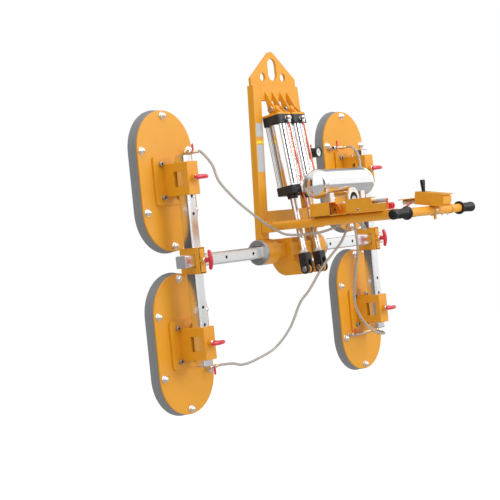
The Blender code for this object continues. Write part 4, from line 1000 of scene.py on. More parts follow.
def air_fittings(name, side):
    """A banjo fitting in the upper cap and an elbow with two nuts in the lower one."""
    banjo = [(0, 0.001), (0.0100, 0.001), (0.0100, -0.003), (0.0088, -0.004), (0.0105, -0.006),
             (0.0105, -0.018), (0.0092, -0.0195), (0.0092, -0.0225), (0.0078, -0.024), (0, -0.0245)]
    outlet = [(0, 0), (0.0088, 0), (0.0088, -0.011), (0.0080, -0.0125), (0.0074, -0.019),
              (0.0056, -0.020), (0, -0.020)]
    elbow = [(0, 0.024), (0.0066, 0.024), (0.0082, 0.021), (0.0082, 0.012), (0.0098, 0.010),
             (0.0098, -0.013), (0.0082, -0.015), (0.0074, -0.021), (0, -0.021)]
    parts = [lathe(banjo, (TUBE_X, CAP_FACE, -PORT), "Y"),
             lathe(outlet, (TUBE_X, -TUBE_FRONT, -PORT), "Z", 24),
             spindle(0.0085, CAP_FACE + 0.001, -TUBE_FRONT, (TUBE_X, 0, -LOW_PORT), "Y"),
             lathe(elbow, (TUBE_X, -TUBE_FRONT, -LOW_PORT), "Z", 24)]
    piece("air_fittings_" + name, hung(parts, side), STEEL, "cylinder_" + name)


# %% [markdown]
# The piston rod is hard chromed and ends in a black fork. A white jam nut locks the fork on the
# thread. Each cheek of the fork is a flat bar with a round eye: a half circle and two straight
# sides, carried through the cheek's thickness.

# %% Piston rods and forks
FORK_TOP = 0.070 - PIN_DISTANCE
CROTCH = 0.038 - PIN_DISTANCE
EYE_RADIUS, CHEEK_HALF = 0.0205, 0.0200
CHEEK_INSIDE, CHEEK_OUTSIDE = 0.0100, 0.0200
RIB_FACE = 0.029


def piston(name, side):
    """Chromed rod, jam nut, fork and the heads of the fork's pin."""
    body = "rod_" + name
    rod = spindle(ROD_RADIUS + 0.0008, FORK_TOP - 0.004, 0.002 - LOW_CAP_START, steps=40)
    piece("piston_rod_" + name, hung([rod], side), CHROME, body, ("piston_rod_" + name,))
    jam = [nut(0.0175, FORK_TOP, FORK_TOP + 0.010), spindle(0.0150, FORK_TOP + 0.009, FORK_TOP + 0.013)]
    piece("jam_nut_" + name, hung(jam, side), WHITE_PAINT, body)
    angle = np.linspace(np.pi, 2 * np.pi, 25)
    eye = EYE_RADIUS * np.column_stack([np.cos(angle), np.sin(angle)]) - (0, PIN_DISTANCE)
    neck = 0.044 - PIN_DISTANCE
    cheek = np.concatenate([eye, [(CHEEK_HALF, neck), (-CHEEK_HALF, neck)]])
    fork = [slab(cheek, end * CHEEK_INSIDE, end * CHEEK_OUTSIDE, 0.0014, "X") for end in (-1, 1)]
    fork.append(brick((-CHEEK_OUTSIDE, -CHEEK_HALF, CROTCH), (CHEEK_OUTSIDE, CHEEK_HALF, FORK_TOP), 0.003))
    piece("fork_" + name, hung(fork, side), BLACK_CAST, body)
    heads = [lathe([(0, end * 0.0195), (0.0118, end * 0.0195), (0.0118, end * 0.0225),
                    (0.0100, end * 0.0243), (0, end * 0.0247)], (0, 0, -PIN_DISTANCE), "X", 24)
             for end in (-1, 1)]
    piece("fork_pin_" + name, hung(heads, side), GREY_METAL, body)


def rib_pins(name, side):
    """The heads of the top pin outside both ribs."""
    heads = [lathe([(0, end * -0.001), (0.0125, end * -0.001), (0.0125, end * 0.0025),
                    (0.0108, end * 0.0042), (0, end * 0.0046)],
                   TOP_PIN + (side * CYLINDER_X + end * RIB_FACE, 0, 0), "X", 24) for end in (-1, 1)]
    piece("rib_pins_" + name, heads, GREY_METAL)


for name, side in SIDES:
    cylinder(name, side)
    air_fittings(name, side)
    piston(name, side)
    rib_pins(name, side)
print("from pin to pin of a cylinder:", round(PIN_DISTANCE, 4))

# %% [markdown]
# The handle is a round bar with a moulded grip on each end. A grip starts with a wide flange that
# keeps the hand in place and ends in a round bead. Fine rings round it give hold; they are a
# small wave added to the grip's radius.

# %% Handle bar and grips
HANDLE_Y = -0.742
ARM_Z = 0.105
GRIP_START, GRIP_END = box_of("grip_right")[0][0], box_of("grip_right")[1][0]
GRIP_RADIUS, GRIP_FLANGE = 0.0185, 0.027
HANDLE = (0, HANDLE_Y, ARM_Z)
RING_PITCH = 0.0048

softened("handle_bar", [PAINT], width=THIN_BEVEL)
for name, side in SIDES:
    x = np.linspace(GRIP_START + 0.015, GRIP_END - 0.024, 121)
    ribs = GRIP_RADIUS + 0.0005 * np.cos((x - GRIP_START) * FULL_TURN / RING_PITCH)
    flange = [(0, GRIP_START), (GRIP_FLANGE - 0.001, GRIP_START), (GRIP_FLANGE, GRIP_START + 0.001),
              (GRIP_FLANGE, GRIP_START + 0.006), (GRIP_FLANGE - 0.002, GRIP_START + 0.008),
              (GRIP_RADIUS + 0.002, GRIP_START + 0.011)]
    tip = [(GRIP_RADIUS, GRIP_END - 0.021), (GRIP_RADIUS + 0.002, GRIP_END - 0.016),
           (GRIP_RADIUS + 0.002, GRIP_END - 0.006), (GRIP_RADIUS - 0.001, GRIP_END - 0.001),
           (GRIP_RADIUS - 0.004, GRIP_END), (0, GRIP_END)]
    profile = np.concatenate([flange, np.column_stack([ribs, x]), tip]) * (1, side)
    piece("grip_skin_" + name, [lathe(profile, HANDLE, "X", 48)], BLACK_GRIP, "frame", ("grip_" + name,), 60)
ring = [(0, 0.1215), (0.0190, 0.1215), (0.0200, 0.1235), (0.0190, 0.1255), (0, 0.1255)]
piece("bar_ring", [lathe(ring, HANDLE, "X", 40)], PAINT)
print("grip length:", round(GRIP_END - GRIP_START, 3))

# %% [markdown]
# The control box is a folded sheet that slopes down towards the operator. Its top and bottom
# stand proud of the inset front panel like two lips. It is drawn level about its own middle, and
# one small turn about X gives the slope.

# %% Control box
BOX_CENTRE = np.array([0, -0.7485, 0.151])
BOX_TURN = turn_about_x(math.radians(9.5))
BOX_HALF, BOX_LENGTH, BOX_HEIGHT, BOX_SHEET = 0.037, 0.135, 0.051, 0.003
VALVE_LINE = (0, 0, 0.1495)
FOLD = 0.001
half, tall = BOX_LENGTH / 2, BOX_HEIGHT / 2
lip, lip_front, lip_back = BOX_HALF + 0.0004, -half + 0.003, half + 0.0004
sheets = [brick((-BOX_HALF, -half + 0.014, -tall + 0.001), (BOX_HALF, half, tall - 0.001), 0.0015),
          brick((-BOX_HALF - 0.0006, lip_front, -tall), (-BOX_HALF + 0.0020, half, tall), FOLD),
          brick((-lip, lip_front, tall - 0.0045), (lip, lip_back, tall), FOLD),
          brick((-lip, lip_front, -tall), (lip, lip_back, -tall + BOX_SHEET), FOLD),
          slab(rounded(0.064, 0.033, 0.006), -half + 0.016, -half + 0.007, 0.0025, "Y", (0.003, 0, -0.001))]
piece("control_box_sheet", [moved(part, BOX_CENTRE, BOX_TURN) for part in sheets], PAINT, "frame",
      ("control_box",))
piece("control_valve", [nut(0.0115, -0.606, -0.622, VALVE_LINE, "Y"),
                        spindle(0.0092, -0.622, -0.690, VALVE_LINE, "Y"),
                        nut(0.0115, -0.640, -0.652, VALVE_LINE, "Y")], STEEL)
piece("valve_cover_bar", [brick((-0.020, -0.690, 0.1590), (0.020, -0.592, 0.1625), 0.0008)], PAINT)
clamp = [(0, -0.016), (0.0205, -0.016), (0.0212, -0.014), (0.0212, 0.002), (0.0205, 0.004), (0, 0.004)]
lug = brick((-0.014, HANDLE_Y - 0.012, 0.118), (0.004, HANDLE_Y + 0.012, 0.136), 0.002)
piece("bar_clamp", [lathe(clamp, HANDLE, "X", 40), lug], BRASS)
piece("bar_stub", [spindle(0.006, ARM_Z - 0.036, ARM_Z, (0, HANDLE_Y - 0.004, 0), "Z", 0.0015)], PAINT)
piece("bar_screws", [spindle(0.0035, ARM_Z - 0.024, ARM_Z, (x, HANDLE_Y, 0)) for x in (0.064, 0.106)], STEEL)
print("control box length:", BOX_LENGTH)

# %% [markdown]
# The paddle that tilts the load flares from a thin stem to a flat top, like a small oar. Its
# outline is drawn once from the front, with a smooth curve for the flare, and carried through a
# thickness of a few millimetres with soft edges.

# %% Control paddle
PADDLE_X, PADDLE_Y, PADDLE_HALF = -0.012, -0.711, 0.0065
PADDLE_FOOT, PADDLE_LENGTH = 0.185, 0.047
BOOT = [(0, 0.176), (0.0095, 0.176), (0.0080, 0.180), (0.0085, 0.182), (0.0062, 0.186), (0.0045, 0.190),
        (0, 0.190)]
t = np.linspace(0, 1, 13)
flare = 0.0045 + 0.0060 * np.sin(t * np.pi / 2) ** 1.5
flare[-2:] = (0.0103, 0.0080)
height = PADDLE_FOOT + PADDLE_LENGTH * np.append(t[:-1] * 0.98, 1.0)
outline = np.concatenate([np.column_stack([flare, height]), np.column_stack([-flare, height])[::-1]])
paddle = slab(outline, PADDLE_Y - PADDLE_HALF, PADDLE_Y + PADDLE_HALF, 0.0020, "Y", (PADDLE_X, 0, 0))
boot = lathe(BOOT, (PADDLE_X, PADDLE_Y, 0), "Z", 24)
piece("paddle", [paddle, boot], BLACK_GRIP, "control_lever", ("control_lever",))
print("paddle length:", PADDLE_LENGTH)

# %% [markdown]
# The vacuum tank is a polished cylinder with domed ends. Each dome is pressed and welded on, so a
# fine bead runs round the seam. Turning one profile about X gives tank, domes and beads at once.

# %% Vacuum tank
low, high = box_of("vacuum_tank")
TANK_RADIUS = (high[1] - low[1]) / 2
TANK_HALF = high[0]
TANK_Y = (low[1] + high[1]) / 2
TANK_Z = high[2] - TANK_RADIUS
DOME = TANK_RADIUS * 0.82
LEG_PLACES, LEG_HALF = (-0.124, 0.104), 0.0145
LEG_FOOT, LEG_TOP = 0.1286, TANK_Z - TANK_RADIUS + 0.020
LEG_Y = TANK_Y - 0.043
angle = np.linspace(0, np.pi / 2, 19)
end_cap = np.column_stack([TANK_RADIUS * np.sin(angle), DOME * (1 - np.cos(angle)) - TANK_HALF])
seam = -TANK_HALF + DOME
bead = [(TANK_RADIUS, seam + 0.001), (TANK_RADIUS + 0.0006, seam + 0.002),
        (TANK_RADIUS + 0.0006, seam + 0.004), (TANK_RADIUS - 0.0006, seam + 0.0052)]
left_half = np.concatenate([end_cap, bead, [(TANK_RADIUS - 0.0006, seam + 0.020)]])
right_half = (left_half * (1, -1))[::-1]
tank_place = (0, TANK_Y, TANK_Z)
shell = lathe(np.concatenate([left_half, right_half]), tank_place, "X", 96)
piece("tank_shell", [shell], TANK_STEEL, "frame", ("vacuum_tank",))
strap = [(LEG_Y - 0.002, LEG_FOOT), (LEG_Y + 0.003, LEG_FOOT), (LEG_Y + 0.005, LEG_TOP),
         (LEG_Y - 0.001, LEG_TOP)]
legs = []
for x in LEG_PLACES:
    legs += [slab(strap, x - LEG_HALF, x + LEG_HALF, 0.0008, "X"),
             brick((x - LEG_HALF, LEG_Y - 0.018, LEG_FOOT),
                   (x + LEG_HALF, LEG_Y + 0.003, LEG_FOOT + 0.004), 0.001),
             brick((x - 0.0030, LEG_Y, LEG_FOOT), (x + 0.0030, TANK_Y, LEG_TOP - 0.006), 0.001)]
piece("tank_legs", legs, WHITE_PAINT)
piece("tank_port", [nut(0.011, TANK_HALF, TANK_HALF + 0.012, tank_place, "X"),
                    spindle(0.006, TANK_HALF + 0.012, TANK_HALF + 0.026, tank_place, "X")], BRASS)
print("tank radius:", round(TANK_RADIUS, 4), "half length:", round(TANK_HALF, 4))

# %% [markdown]
# The console is folded from sheet: a base plate lies across both arms, a cover stands at its left
# rear corner, and an open channel and a long tray follow it forward. Sheet parts are boxes with
# small rounded edges, as a press brake leaves them.

# %% Console covers
ARM_TOP = 0.1243
LEFT, COVER_RIGHT = -0.195, -0.135
SHEET = 0.003
BASE_FRONT, COVER_FRONT, CONSOLE_BACK = -0.452, -0.371, -0.273
BARB_Y = -0.300
covers = [brick((LEFT, BASE_FRONT, ARM_TOP), (-LEFT, CONSOLE_BACK, ARM_TOP + 0.004), FOLD),
          brick((LEFT, COVER_FRONT, ARM_TOP), (LEFT + SHEET, CONSOLE_BACK, 0.180), FOLD),
          brick((LEFT + 0.0005, COVER_FRONT + 0.0005, 0.1772),
                (COVER_RIGHT - 0.0005, CONSOLE_BACK - 0.0005, 0.1803), FOLD),
          brick((LEFT + 0.001, CONSOLE_BACK - 0.027, ARM_TOP + 0.001),
                (COVER_RIGHT - 0.001, CONSOLE_BACK - 0.0005, 0.179), FOLD),
          brick((COVER_RIGHT - SHEET, BASE_FRONT, ARM_TOP), (COVER_RIGHT, COVER_FRONT + 0.001, 0.170), FOLD),
          brick((COVER_RIGHT - 0.0025, COVER_FRONT + 0.0005, ARM_TOP),
                (COVER_RIGHT + 0.0003, CONSOLE_BACK - 0.0005, 0.1795), FOLD)]
piece("console_cover", covers, PAINT, "frame", ("valve_enclosure",))
# The hole in the cover's right wall is a thin black disc of painted shade.
hole = spindle(0.0042, COVER_RIGHT - 0.0034, COVER_RIGHT - 0.0028, (0, -0.360, 0.148), "X", 0.0001)
piece("cover_hole_shade", [hole], BLACK_AND_SHADE)
piece("air_valves", [brick((-0.120, -0.431, ARM_TOP + 0.004), (-0.075, -0.353, 0.165), 0.003)], GREY_METAL)
elbow_place = (-0.128, -0.396, 0)
piece("console_elbow", [nut(0.0095, 0.156, 0.166, elbow_place), spindle(0.0080, 0.140, 0.177, elbow_place)],
      SATIN)
CONSOLE_BARBS = {"upper_left": 0.000, "lower_left": 0.040, "lower_right": 0.080, "upper_right": 0.118}
height = np.linspace(ARM_TOP - BARB_LENGTH, ARM_TOP - 0.001, BARB_POINTS)
profile = np.column_stack([CORE_RADIUS + TOOTH_HEIGHT * TOOTH, height])
profile = np.concatenate([[(0, height[0])], profile, [(0, height[-1])]])
barbs = []
for x in CONSOLE_BARBS.values():
    barbs.append(lathe(profile, (x, BARB_Y, 0), "Z", 20))
    barbs.append(nut(0.0095, ARM_TOP - 0.004, ARM_TOP + 0.0005, (x, BARB_Y, 0)))
piece("console_barbs", barbs, BRASS)
print("console barbs:", len(CONSOLE_BARBS))

# %% [markdown]
# In front of the cover a tray lies along the left arm, with a folded hood over its rear part. A
# grey silencer with fine rings lies on it; the rings are a small wave added to its radius. A red
# slide valve sits on a steel stem at the tray's front, beside an orange pin.

# %% Exhaust tray
TRAY_FRONT, CHEEK_FRONT = -0.606, -0.646
HOOD_FRONT, HOOD_BACK = -0.578, -0.455
SILENCER_START, SILENCER_TIP = -0.572, TRAY_FRONT - 0.016
SILENCER_PITCH = 0.0042
EXHAUST = (LEFT + 0.047, 0, 0.1650)
SLIDE = (LEFT + 0.046, 0, 0.141)
STOP = (LEFT + 0.004, -0.650, 0)
tray = [brick((LEFT + 0.001, -0.540, ARM_TOP + 0.003), (COVER_RIGHT, HOOD_BACK, 0.1805), 0.0022),
        brick((LEFT - 0.0018, HOOD_FRONT, 0.1300), (LEFT + 0.0015, HOOD_BACK, 0.1815), FOLD),
        brick((LEFT - 0.0018, HOOD_FRONT - 0.002, 0.1790), (LEFT + 0.030, HOOD_BACK + 0.002, 0.1830), FOLD),
        brick((LEFT, TRAY_FRONT, ARM_TOP + 0.002), (COVER_RIGHT - 0.001, HOOD_BACK - 0.002, 0.155), 0.0018),
        brick((LEFT + 0.0003, CHEEK_FRONT, ARM_TOP + 0.0023),
              (LEFT + SHEET, TRAY_FRONT + 0.003, 0.1547), FOLD)]
piece("tray", tray, PAINT, "frame", ("console_tray",))
piece("tray_screws", [spindle(0.0048, LEFT + 0.001, LEFT - 0.0040, (0, -0.512, 0.1400), "X", 0.0015)], STEEL)
piece("exhaust_fitting", [nut(0.0105, SILENCER_START, -0.553, EXHAUST, "Y"),
                          spindle(0.0080, -0.554, -0.538, EXHAUST, "Y")], BRASS)
y = np.linspace(SILENCER_START - 0.001, SILENCER_TIP + 0.006, 61)
rings = 0.0084 + 0.0002 * np.cos((y - y[0]) * FULL_TURN / SILENCER_PITCH)
silencer = np.concatenate([[(0, SILENCER_START), (0.0078, SILENCER_START)], np.column_stack([rings, y]),
                           [(0.0078, SILENCER_TIP + 0.003), (0.0056, SILENCER_TIP), (0, SILENCER_TIP)]])
piece("silencer", [lathe(silencer, EXHAUST, "Y", 32)], SILENCER_GREY, crease=60)
piece("slide_stem", [spindle(0.004, TRAY_FRONT + 0.001, box_of("console_tray")[0][1], SLIDE, "Y")], STEEL)
piece("exhaust_stop", [spindle(0.0040, 0.130, 0.168, STOP),
                       spindle(0.0060, 0.165, 0.171, STOP, "Z", 0.0015)], ORANGE_TUBE)
low, high = box_of("slide_valve")
outline = rounded(high[0] - low[0], high[2] - low[2], 0.007)
sleeve = [slab(outline, high[1] - 0.008, low[1] + 0.004, 0.0015, "Y", SLIDE),
          spindle(0.0115, high[1], high[1] - 0.010, SLIDE, "Y", 0.002),
          spindle(0.0120, low[1] + 0.006, low[1], SLIDE, "Y", 0.002)]
piece("slide_sleeve", sleeve, RED, "slide_valve", ("slide_valve",))
print("tray length:", round(HOOD_BACK - TRAY_FRONT, 3))

# %% [markdown]
# The vacuum generator blows out through a white flange beside the tray. The flange is egg shaped,
# with one screw in its narrow top, and its wide bore ends in a black disc of painted shade round a
# grey core. The egg is a circle whose radius grows towards the top: r (1 + k sin(a) cubed) where
# sin(a) is positive.

# %% Vacuum generator
low, high = box_of("vacuum_generator")
GENERATOR = np.array([-0.006, 0, 0.1880])
face, back = low[1], high[1]
deep = face + 0.0056
BORE_RADIUS = 0.0266
unit = circle(1.0, 64)
egg = 0.040 * (1 + 0.16 * np.clip(unit[:, 1:], 0, 1) ** 3) * unit
hollow = (BORE_RADIUS + 0.0004) * unit
levels = [(hollow, back - 0.001), (hollow, face + 0.0015), (hollow * 1.05, face),
          (inset(egg, 0.0018), face), (inset(egg, 0.0005), face + 0.0005),
          (egg, face + 0.0018), (egg, face + 0.0050), (inset(egg, 0.001), face + 0.0060),
          (egg * 0.78, face + 0.0060), (egg * 0.78, back)]
piece("generator_flange", [stacked(levels, "Y", GENERATOR)], WHITE_PLASTIC, "frame", ("vacuum_generator",))
plate = slab(inset(egg, 0.001), face + 0.0062, back + 0.0005, 0.0008, "Y", GENERATOR)
foot = brick((GENERATOR[0] - 0.016, face + 0.003, ARM_TOP + 0.0043),
             (GENERATOR[0] + 0.016, back, GENERATOR[2] - 0.024))
piece("generator_plate", [plate, foot], PAINT)
# The bore's floor is a black disc of painted shade.
bore = [(0, deep - 0.0003), (BORE_RADIUS, deep - 0.0003), (BORE_RADIUS, deep - 0.0020),
        (BORE_RADIUS + 0.0003, deep - 0.0020), (BORE_RADIUS + 0.0003, deep + 0.0002), (0, deep + 0.0002)]
screw = spindle(0.0022, face + 0.001, face - 0.0004, GENERATOR + (0, 0, 0.0375), "Y", 0.0003, 16)
piece("generator_bore", [lathe(bore, GENERATOR, "Y", 40), screw], BLACK_AND_SHADE)
core = spindle(0.0175, deep, deep - 0.0016, GENERATOR + (0.006, 0, -0.006), "Y", 0.0006)
piece("generator_core", [core], SILENCER_GREY)
print("generator flange is", round(back - face, 4), "m deep")

# %% [markdown]
# The vacuum gauge has a black case, a pale dial under glass and a fitting that screws it to the
# upright. The dial's scale is worked out from the angle round its middle: short marks where a
# wave of that angle peaks, kept to a ring near the rim and left out at the foot.

# %% Vacuum gauge
GAUGE = np.array([0.180, 0.0, 0.411])
GAUGE_FACE = -0.085
GAUGE_RADIUS, BEZEL_RADIUS, DIAL_RADIUS = 0.021, 0.0243, 0.0188
DIAL_Y = GAUGE_FACE + 0.0055
ENAMEL, INK = (0.86, 0.86, 0.84), (0.03, 0.03, 0.03)
MARKS, MARKS_START, MARKS_END, MARKS_TURN = 20, 0.0128, 0.0165, 2.5
FITTING_X, FITTING_Y = 0.172, -0.029


def dial(name):
    """White enamel with black marks: radius picks the ring, and a wave of the angle the marks."""
    finish = Finish(name, ENAMEL, coat_weight=0.8, coat_roughness=0.04)
    across = finish.axis("X") - float(HUB[0] + GAUGE[0])
    upright = finish.axis("Z") - float(HUB[2] + GAUGE[2])
    radius = (across * across + upright * upright).root()
    angle = across.math("ARCTAN2", across, upright)
    marks = (angle * MARKS).cosine().eased(0.55, 0.8)
    ring = radius.above(MARKS_START) * (1 - radius.above(MARKS_END))
    foot = 1 - abs(angle).above(MARKS_TURN)
    finish.set("Base Color", finish.blend(ENAMEL, INK, marks * ring * foot))
    finish.set("Roughness", 0.35 - 0.1 * ring)
    return finish.material


DIAL = dial("gauge_dial")
case = [(0, -0.040), (0.018, -0.040), (GAUGE_RADIUS, -0.044), (GAUGE_RADIUS + 0.0005, -0.074),
        (0.0240, -0.076), (BEZEL_RADIUS, -0.078), (BEZEL_RADIUS, GAUGE_FACE + 0.002),
        (0.0230, GAUGE_FACE), (0.0200, GAUGE_FACE), (0.0190, GAUGE_FACE + 0.001),
        (0.0186, DIAL_Y), (0, DIAL_Y)]
fitting = [brick((0.170, -0.044, 0.385), (0.188, -0.0165, 0.437), 0.004),
           spindle(0.0080, 0.452, 0.478, (0.170, FITTING_Y, 0), "Z", 0.003),
           spindle(0.0045, 0.436, 0.453, (FITTING_X, FITTING_Y, 0)),
           spindle(0.0065, -0.0500, -0.030, (FITTING_X, 0, GAUGE[2]), "Y")]
piece("gauge_case", [lathe(case, GAUGE, "Y", 48)] + fitting, BLACK_CAST, "frame", ("vacuum_gauge",))
piece("gauge_dial", [spindle(DIAL_RADIUS, DIAL_Y + 0.0005, DIAL_Y - 0.0003, GAUGE, "Y", 0.0002, 48)], DIAL)
needle = np.array([(-0.0010, -0.004), (0.0010, -0.004), (0.0004, 0.0135), (-0.0004, 0.0135)])
lean = math.radians(-38)
spin = np.array([[math.cos(lean), -math.sin(lean)], [math.sin(lean), math.cos(lean)]])
piece("gauge_needle", [slab(needle @ spin.T, DIAL_Y - 0.0006, DIAL_Y - 0.0012, 0.0002, "Y", GAUGE),
                       spindle(0.0022, DIAL_Y - 0.0002, DIAL_Y - 0.0018, GAUGE, "Y", 0.0004)], BLACK_AND_SHADE)
piece("gauge_button", [spindle(0.0055, -0.030, -0.044, (GAUGE[0], 0, 0.444), "Y", 0.0015)], RED)
print("gauge radius:", BEZEL_RADIUS)

# %% [markdown]
# Two blank rating plates and a yellow strip are stuck on the left upright. They follow its slope,
# so each is a thin slab whose four corners slide along the upright's own middle line.

# %% Blank plates on the upright
UPRIGHT_TOP_X, HEAD_TOP = 0.1323, 0.710
UPRIGHT_SLOPE = (0.1790 - UPRIGHT_TOP_X) / (HEAD_TOP - 0.050)
FRAME_FRONT = -0.016
STICKER_WIDTH = 0.044


def blank_plate(name, bottom, top, finish):
    """A sticker's outline on the left upright: its middle follows the upright at each height."""
    corners = [(-(UPRIGHT_TOP_X + UPRIGHT_SLOPE * (HEAD_TOP - z)) + edge * STICKER_WIDTH / 2, z)
               for z, edge in ((bottom, -1), (bottom, 1), (top, 1), (top, -1))]
    piece(name, [slab(corners, FRAME_FRONT + 0.0002, FRAME_FRONT - 0.0005, 0.0002, "Y")], finish)


blank_plate("upper_label", 0.490, 0.548, LABEL_GREY)
blank_plate("label_stripe", 0.462, 0.473, LABEL_YELLOW)
blank_plate("lower_label", 0.341, 0.456, LABEL_GREY)
print("upright leans", round(math.degrees(math.atan(UPRIGHT_SLOPE)), 2), "degrees")

# %% [markdown]
# Four clear hoses carry the vacuum from the console to the pads. Each leaves its barb straight,
# hangs in a free curve and reaches the next barb straight again.

# %% Vacuum hoses
HOSE_LEAD = 0.020
HOSE_GAP = 0.0003
HOSE_STEPS = 16
HOSE_ROUTES = {
    "upper_left": [(-0.436, 0.022, 0.385), (-0.440, -0.010, 0.313), (-0.416, -0.050, 0.247),
                   (-0.379, -0.080, 0.195), (-0.306, -0.100, 0.137), (-0.225, -0.115, 0.088),
                   (-0.163, -0.125, 0.064), (-0.074, -0.165, 0.058), (-0.020, -0.220, 0.064)],
    "lower_left": [(-0.411, 0.036, -0.443), (-0.380, 0.014, -0.452), (-0.335, -0.020, -0.440),
                   (-0.257, -0.070, -0.401), (-0.193, -0.110, -0.326), (-0.146, -0.140, -0.227),
                   (-0.108, -0.170, -0.174), (-0.050, -0.200, -0.092), (-0.005, -0.222, -0.044),
                   (0.047, -0.250, 0.014)],
    "lower_right": [(0.664, -0.006, -0.447), (0.640, -0.028, -0.452), (0.590, -0.040, -0.446),
                    (0.510, -0.050, -0.418), (0.410, -0.070, -0.360), (0.305, -0.110, -0.280),
                    (0.225, -0.170, -0.191), (0.175, -0.225, -0.101), (0.140, -0.265, -0.020)],
    "upper_right": [(0.578, -0.010, 0.422), (0.568, -0.032, 0.385), (0.545, -0.050, 0.335),
                    (0.490, -0.075, 0.265), (0.400, -0.120, 0.175), (0.310, -0.185, 0.095),
                    (0.235, -0.250, 0.055), (0.168, -0.285, 0.058)],
}


def declare_cord(path):
    """Works out the path's first point and all its points in the frame's coordinates, and keeps neither."""
    tuple(path[0] + HUB)
    (path + HUB).tolist()


def braid_map(obj, path, steps):
    """A UV map for the braid: U is the turn round the hose, V the length in braid turns."""
    mesh = obj.data
    points = np.zeros(len(mesh.vertices) * 3)
    mesh.vertices.foreach_get("co", points)
    points = points.reshape(-1, 3)
    walked = np.concatenate([[0], np.cumsum(np.linalg.norm(np.diff(path, axis=0), axis=1))])
    nearest = np.argmin(((points[:, None] - path[None]) ** 2).sum(-1), axis=1)
    along = walked[nearest] / BRAID_TURN
    loops = np.zeros(len(mesh.loops), np.int32)
    mesh.loops.foreach_get("vertex_index", loops)
    around = (np.arange(len(points)) % steps) / steps
    turn = around[loops]
    first = np.zeros(len(mesh.polygons), np.int32)
    count = np.zeros(len(mesh.polygons), np.int32)
    mesh.polygons.foreach_get("loop_start", first)
    mesh.polygons.foreach_get("loop_total", count)
    face = np.repeat(np.arange(len(first)), count)
    highest = np.zeros(len(first))
    np.maximum.at(highest, face, turn)
    turn = np.where((turn < 0.25) & (highest[face] > 0.75), turn + 1, turn)
    layer = mesh.uv_layers.new(name="braid")
    layer.data.foreach_set("uv", np.column_stack([turn, along[loops]]).ravel())


def hose(label, side, up):
    """One hose from its pad's barb to the console."""
    pad = middle_of("pad_seal_" + label)
    z = pad[2] + up * VALVE_Z
    if side < 0:
        way = np.array([1.0, 0, 0])
        start = np.array([pad[0] + ROW_ENDS[label] + BARB_LENGTH + HOSE_GAP, VALVE_Y, z])
    else:
        way = np.array([0, -1.0, 0])
        start = np.array([pad[0] + ROW_ENDS[label] - BEND, VALVE_Y - BEND - BARB_LENGTH - HOSE_GAP, z])
    end = np.array([CONSOLE_BARBS[label], BARB_Y, ARM_TOP - BARB_LENGTH - HOSE_GAP])
    drop = np.array([0, 0, HOSE_LEAD])
    path = smooth_path([start, start + way * HOSE_LEAD] + HOSE_ROUTES[label] + [end - drop, end])
    obj = piece("vacuum_hose_" + label, [tube(path, HOSE_RADIUS, HOSE_STEPS)], BRAIDED, None,
                ("hose_" + label,), 60)
    braid_map(obj, path + HUB, HOSE_STEPS)
    declare_cord(path)
    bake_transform(obj)
    print("hose", label, "is", round(path_length(path), 3), "m long")


for row, up in ROWS:
    for name, side in SIDES:
        hose(row + "_" + name, side, up)

# %% [markdown]
# Each cylinder has an orange air line from its upper fitting down the front of the barrel to the
# lower fitting. On the left a second one goes on from there to the valves under the console
# cover. A cylinder swings by little more than one degree, so that line bends only slightly. Two
# short lines end at the console: one comes from the control box, a thin one crosses the cover.

# %% Air lines
AIR_RADIUS, SIGNAL_RADIUS = 0.0042, 0.0032
FITTING_TOP, FITTING_FOOT = LOW_PORT - 0.0243, LOW_PORT + 0.0213
VALVE_ENTRY = np.array([-0.183, -0.268, 0.166])
CONTROL_ROUTE = [(0, -0.646, 0.147), (-0.016, -0.640, 0.139), (-0.048, -0.622, 0.121),
                 (-0.092, -0.598, 0.104), (-0.140, -0.550, 0.118)]
SIGNAL_ROUTE = [(-0.150, -0.352, 0.176), (-0.150, -0.374, 0.173), (-0.150, -0.393, 0.157),
                (-0.150, -0.400, 0.131)]
BARREL_ROUTE = [(TUBE_X, -TUBE_FRONT, -PORT - 0.0203), (TUBE_X, -TUBE_FRONT, -PORT - 0.060),
                (TUBE_X + 0.004, -TUBE_FRONT + 0.002, -PORT - 0.150),
                (TUBE_X + 0.007, -TUBE_FRONT, -PORT - 0.230), (TUBE_X, -TUBE_FRONT, -FITTING_TOP)]


def air_line(name, path, body="frame", replaces=(), radius=AIR_RADIUS, steps=16):
    """An orange tube along a path."""
    obj = piece(name, [tube(path, radius, steps)], ORANGE_TUBE, body, replaces, 60)
    declare_cord(path)
    print(name, "is", round(path_length(path), 3), "m long")
    return obj


air_line("control_line", smooth_path(CONTROL_ROUTE))
air_line("signal_line", smooth_path(SIGNAL_ROUTE), radius=SIGNAL_RADIUS, steps=12)
for name, side in SIDES:
    path = smooth_path(BARREL_ROUTE) @ TURN.T + TOP_PIN + (side * CYLINDER_X, 0, 0)
    air_line("air_line_" + name, path, "cylinder_" + name, ("air_tube_" + name,))
start = TURN @ (TUBE_X, -TUBE_FRONT, -FITTING_FOOT) + TOP_PIN + (-CYLINDER_X, 0, 0)
sag = (start + VALVE_ENTRY) / 2 + (0, 0, -0.012)
path = smooth_path([start, start + (0, 0, -0.014), sag, VALVE_ENTRY + (0, 0.012, 0.002), VALVE_ENTRY])
low_line = air_line("valve_line_left", path, None)
tuple(start + HUB)
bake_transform(low_line)

# %% [markdown]
# The studio is plain: a pale floor well below the hanging lifter, an even white surround, and two
# soft area lamps. The floor glows a little to the camera, so it melts into the surround, but it
# keeps the lifter's shadow. To rays that bounce off gloss it is a middle grey.

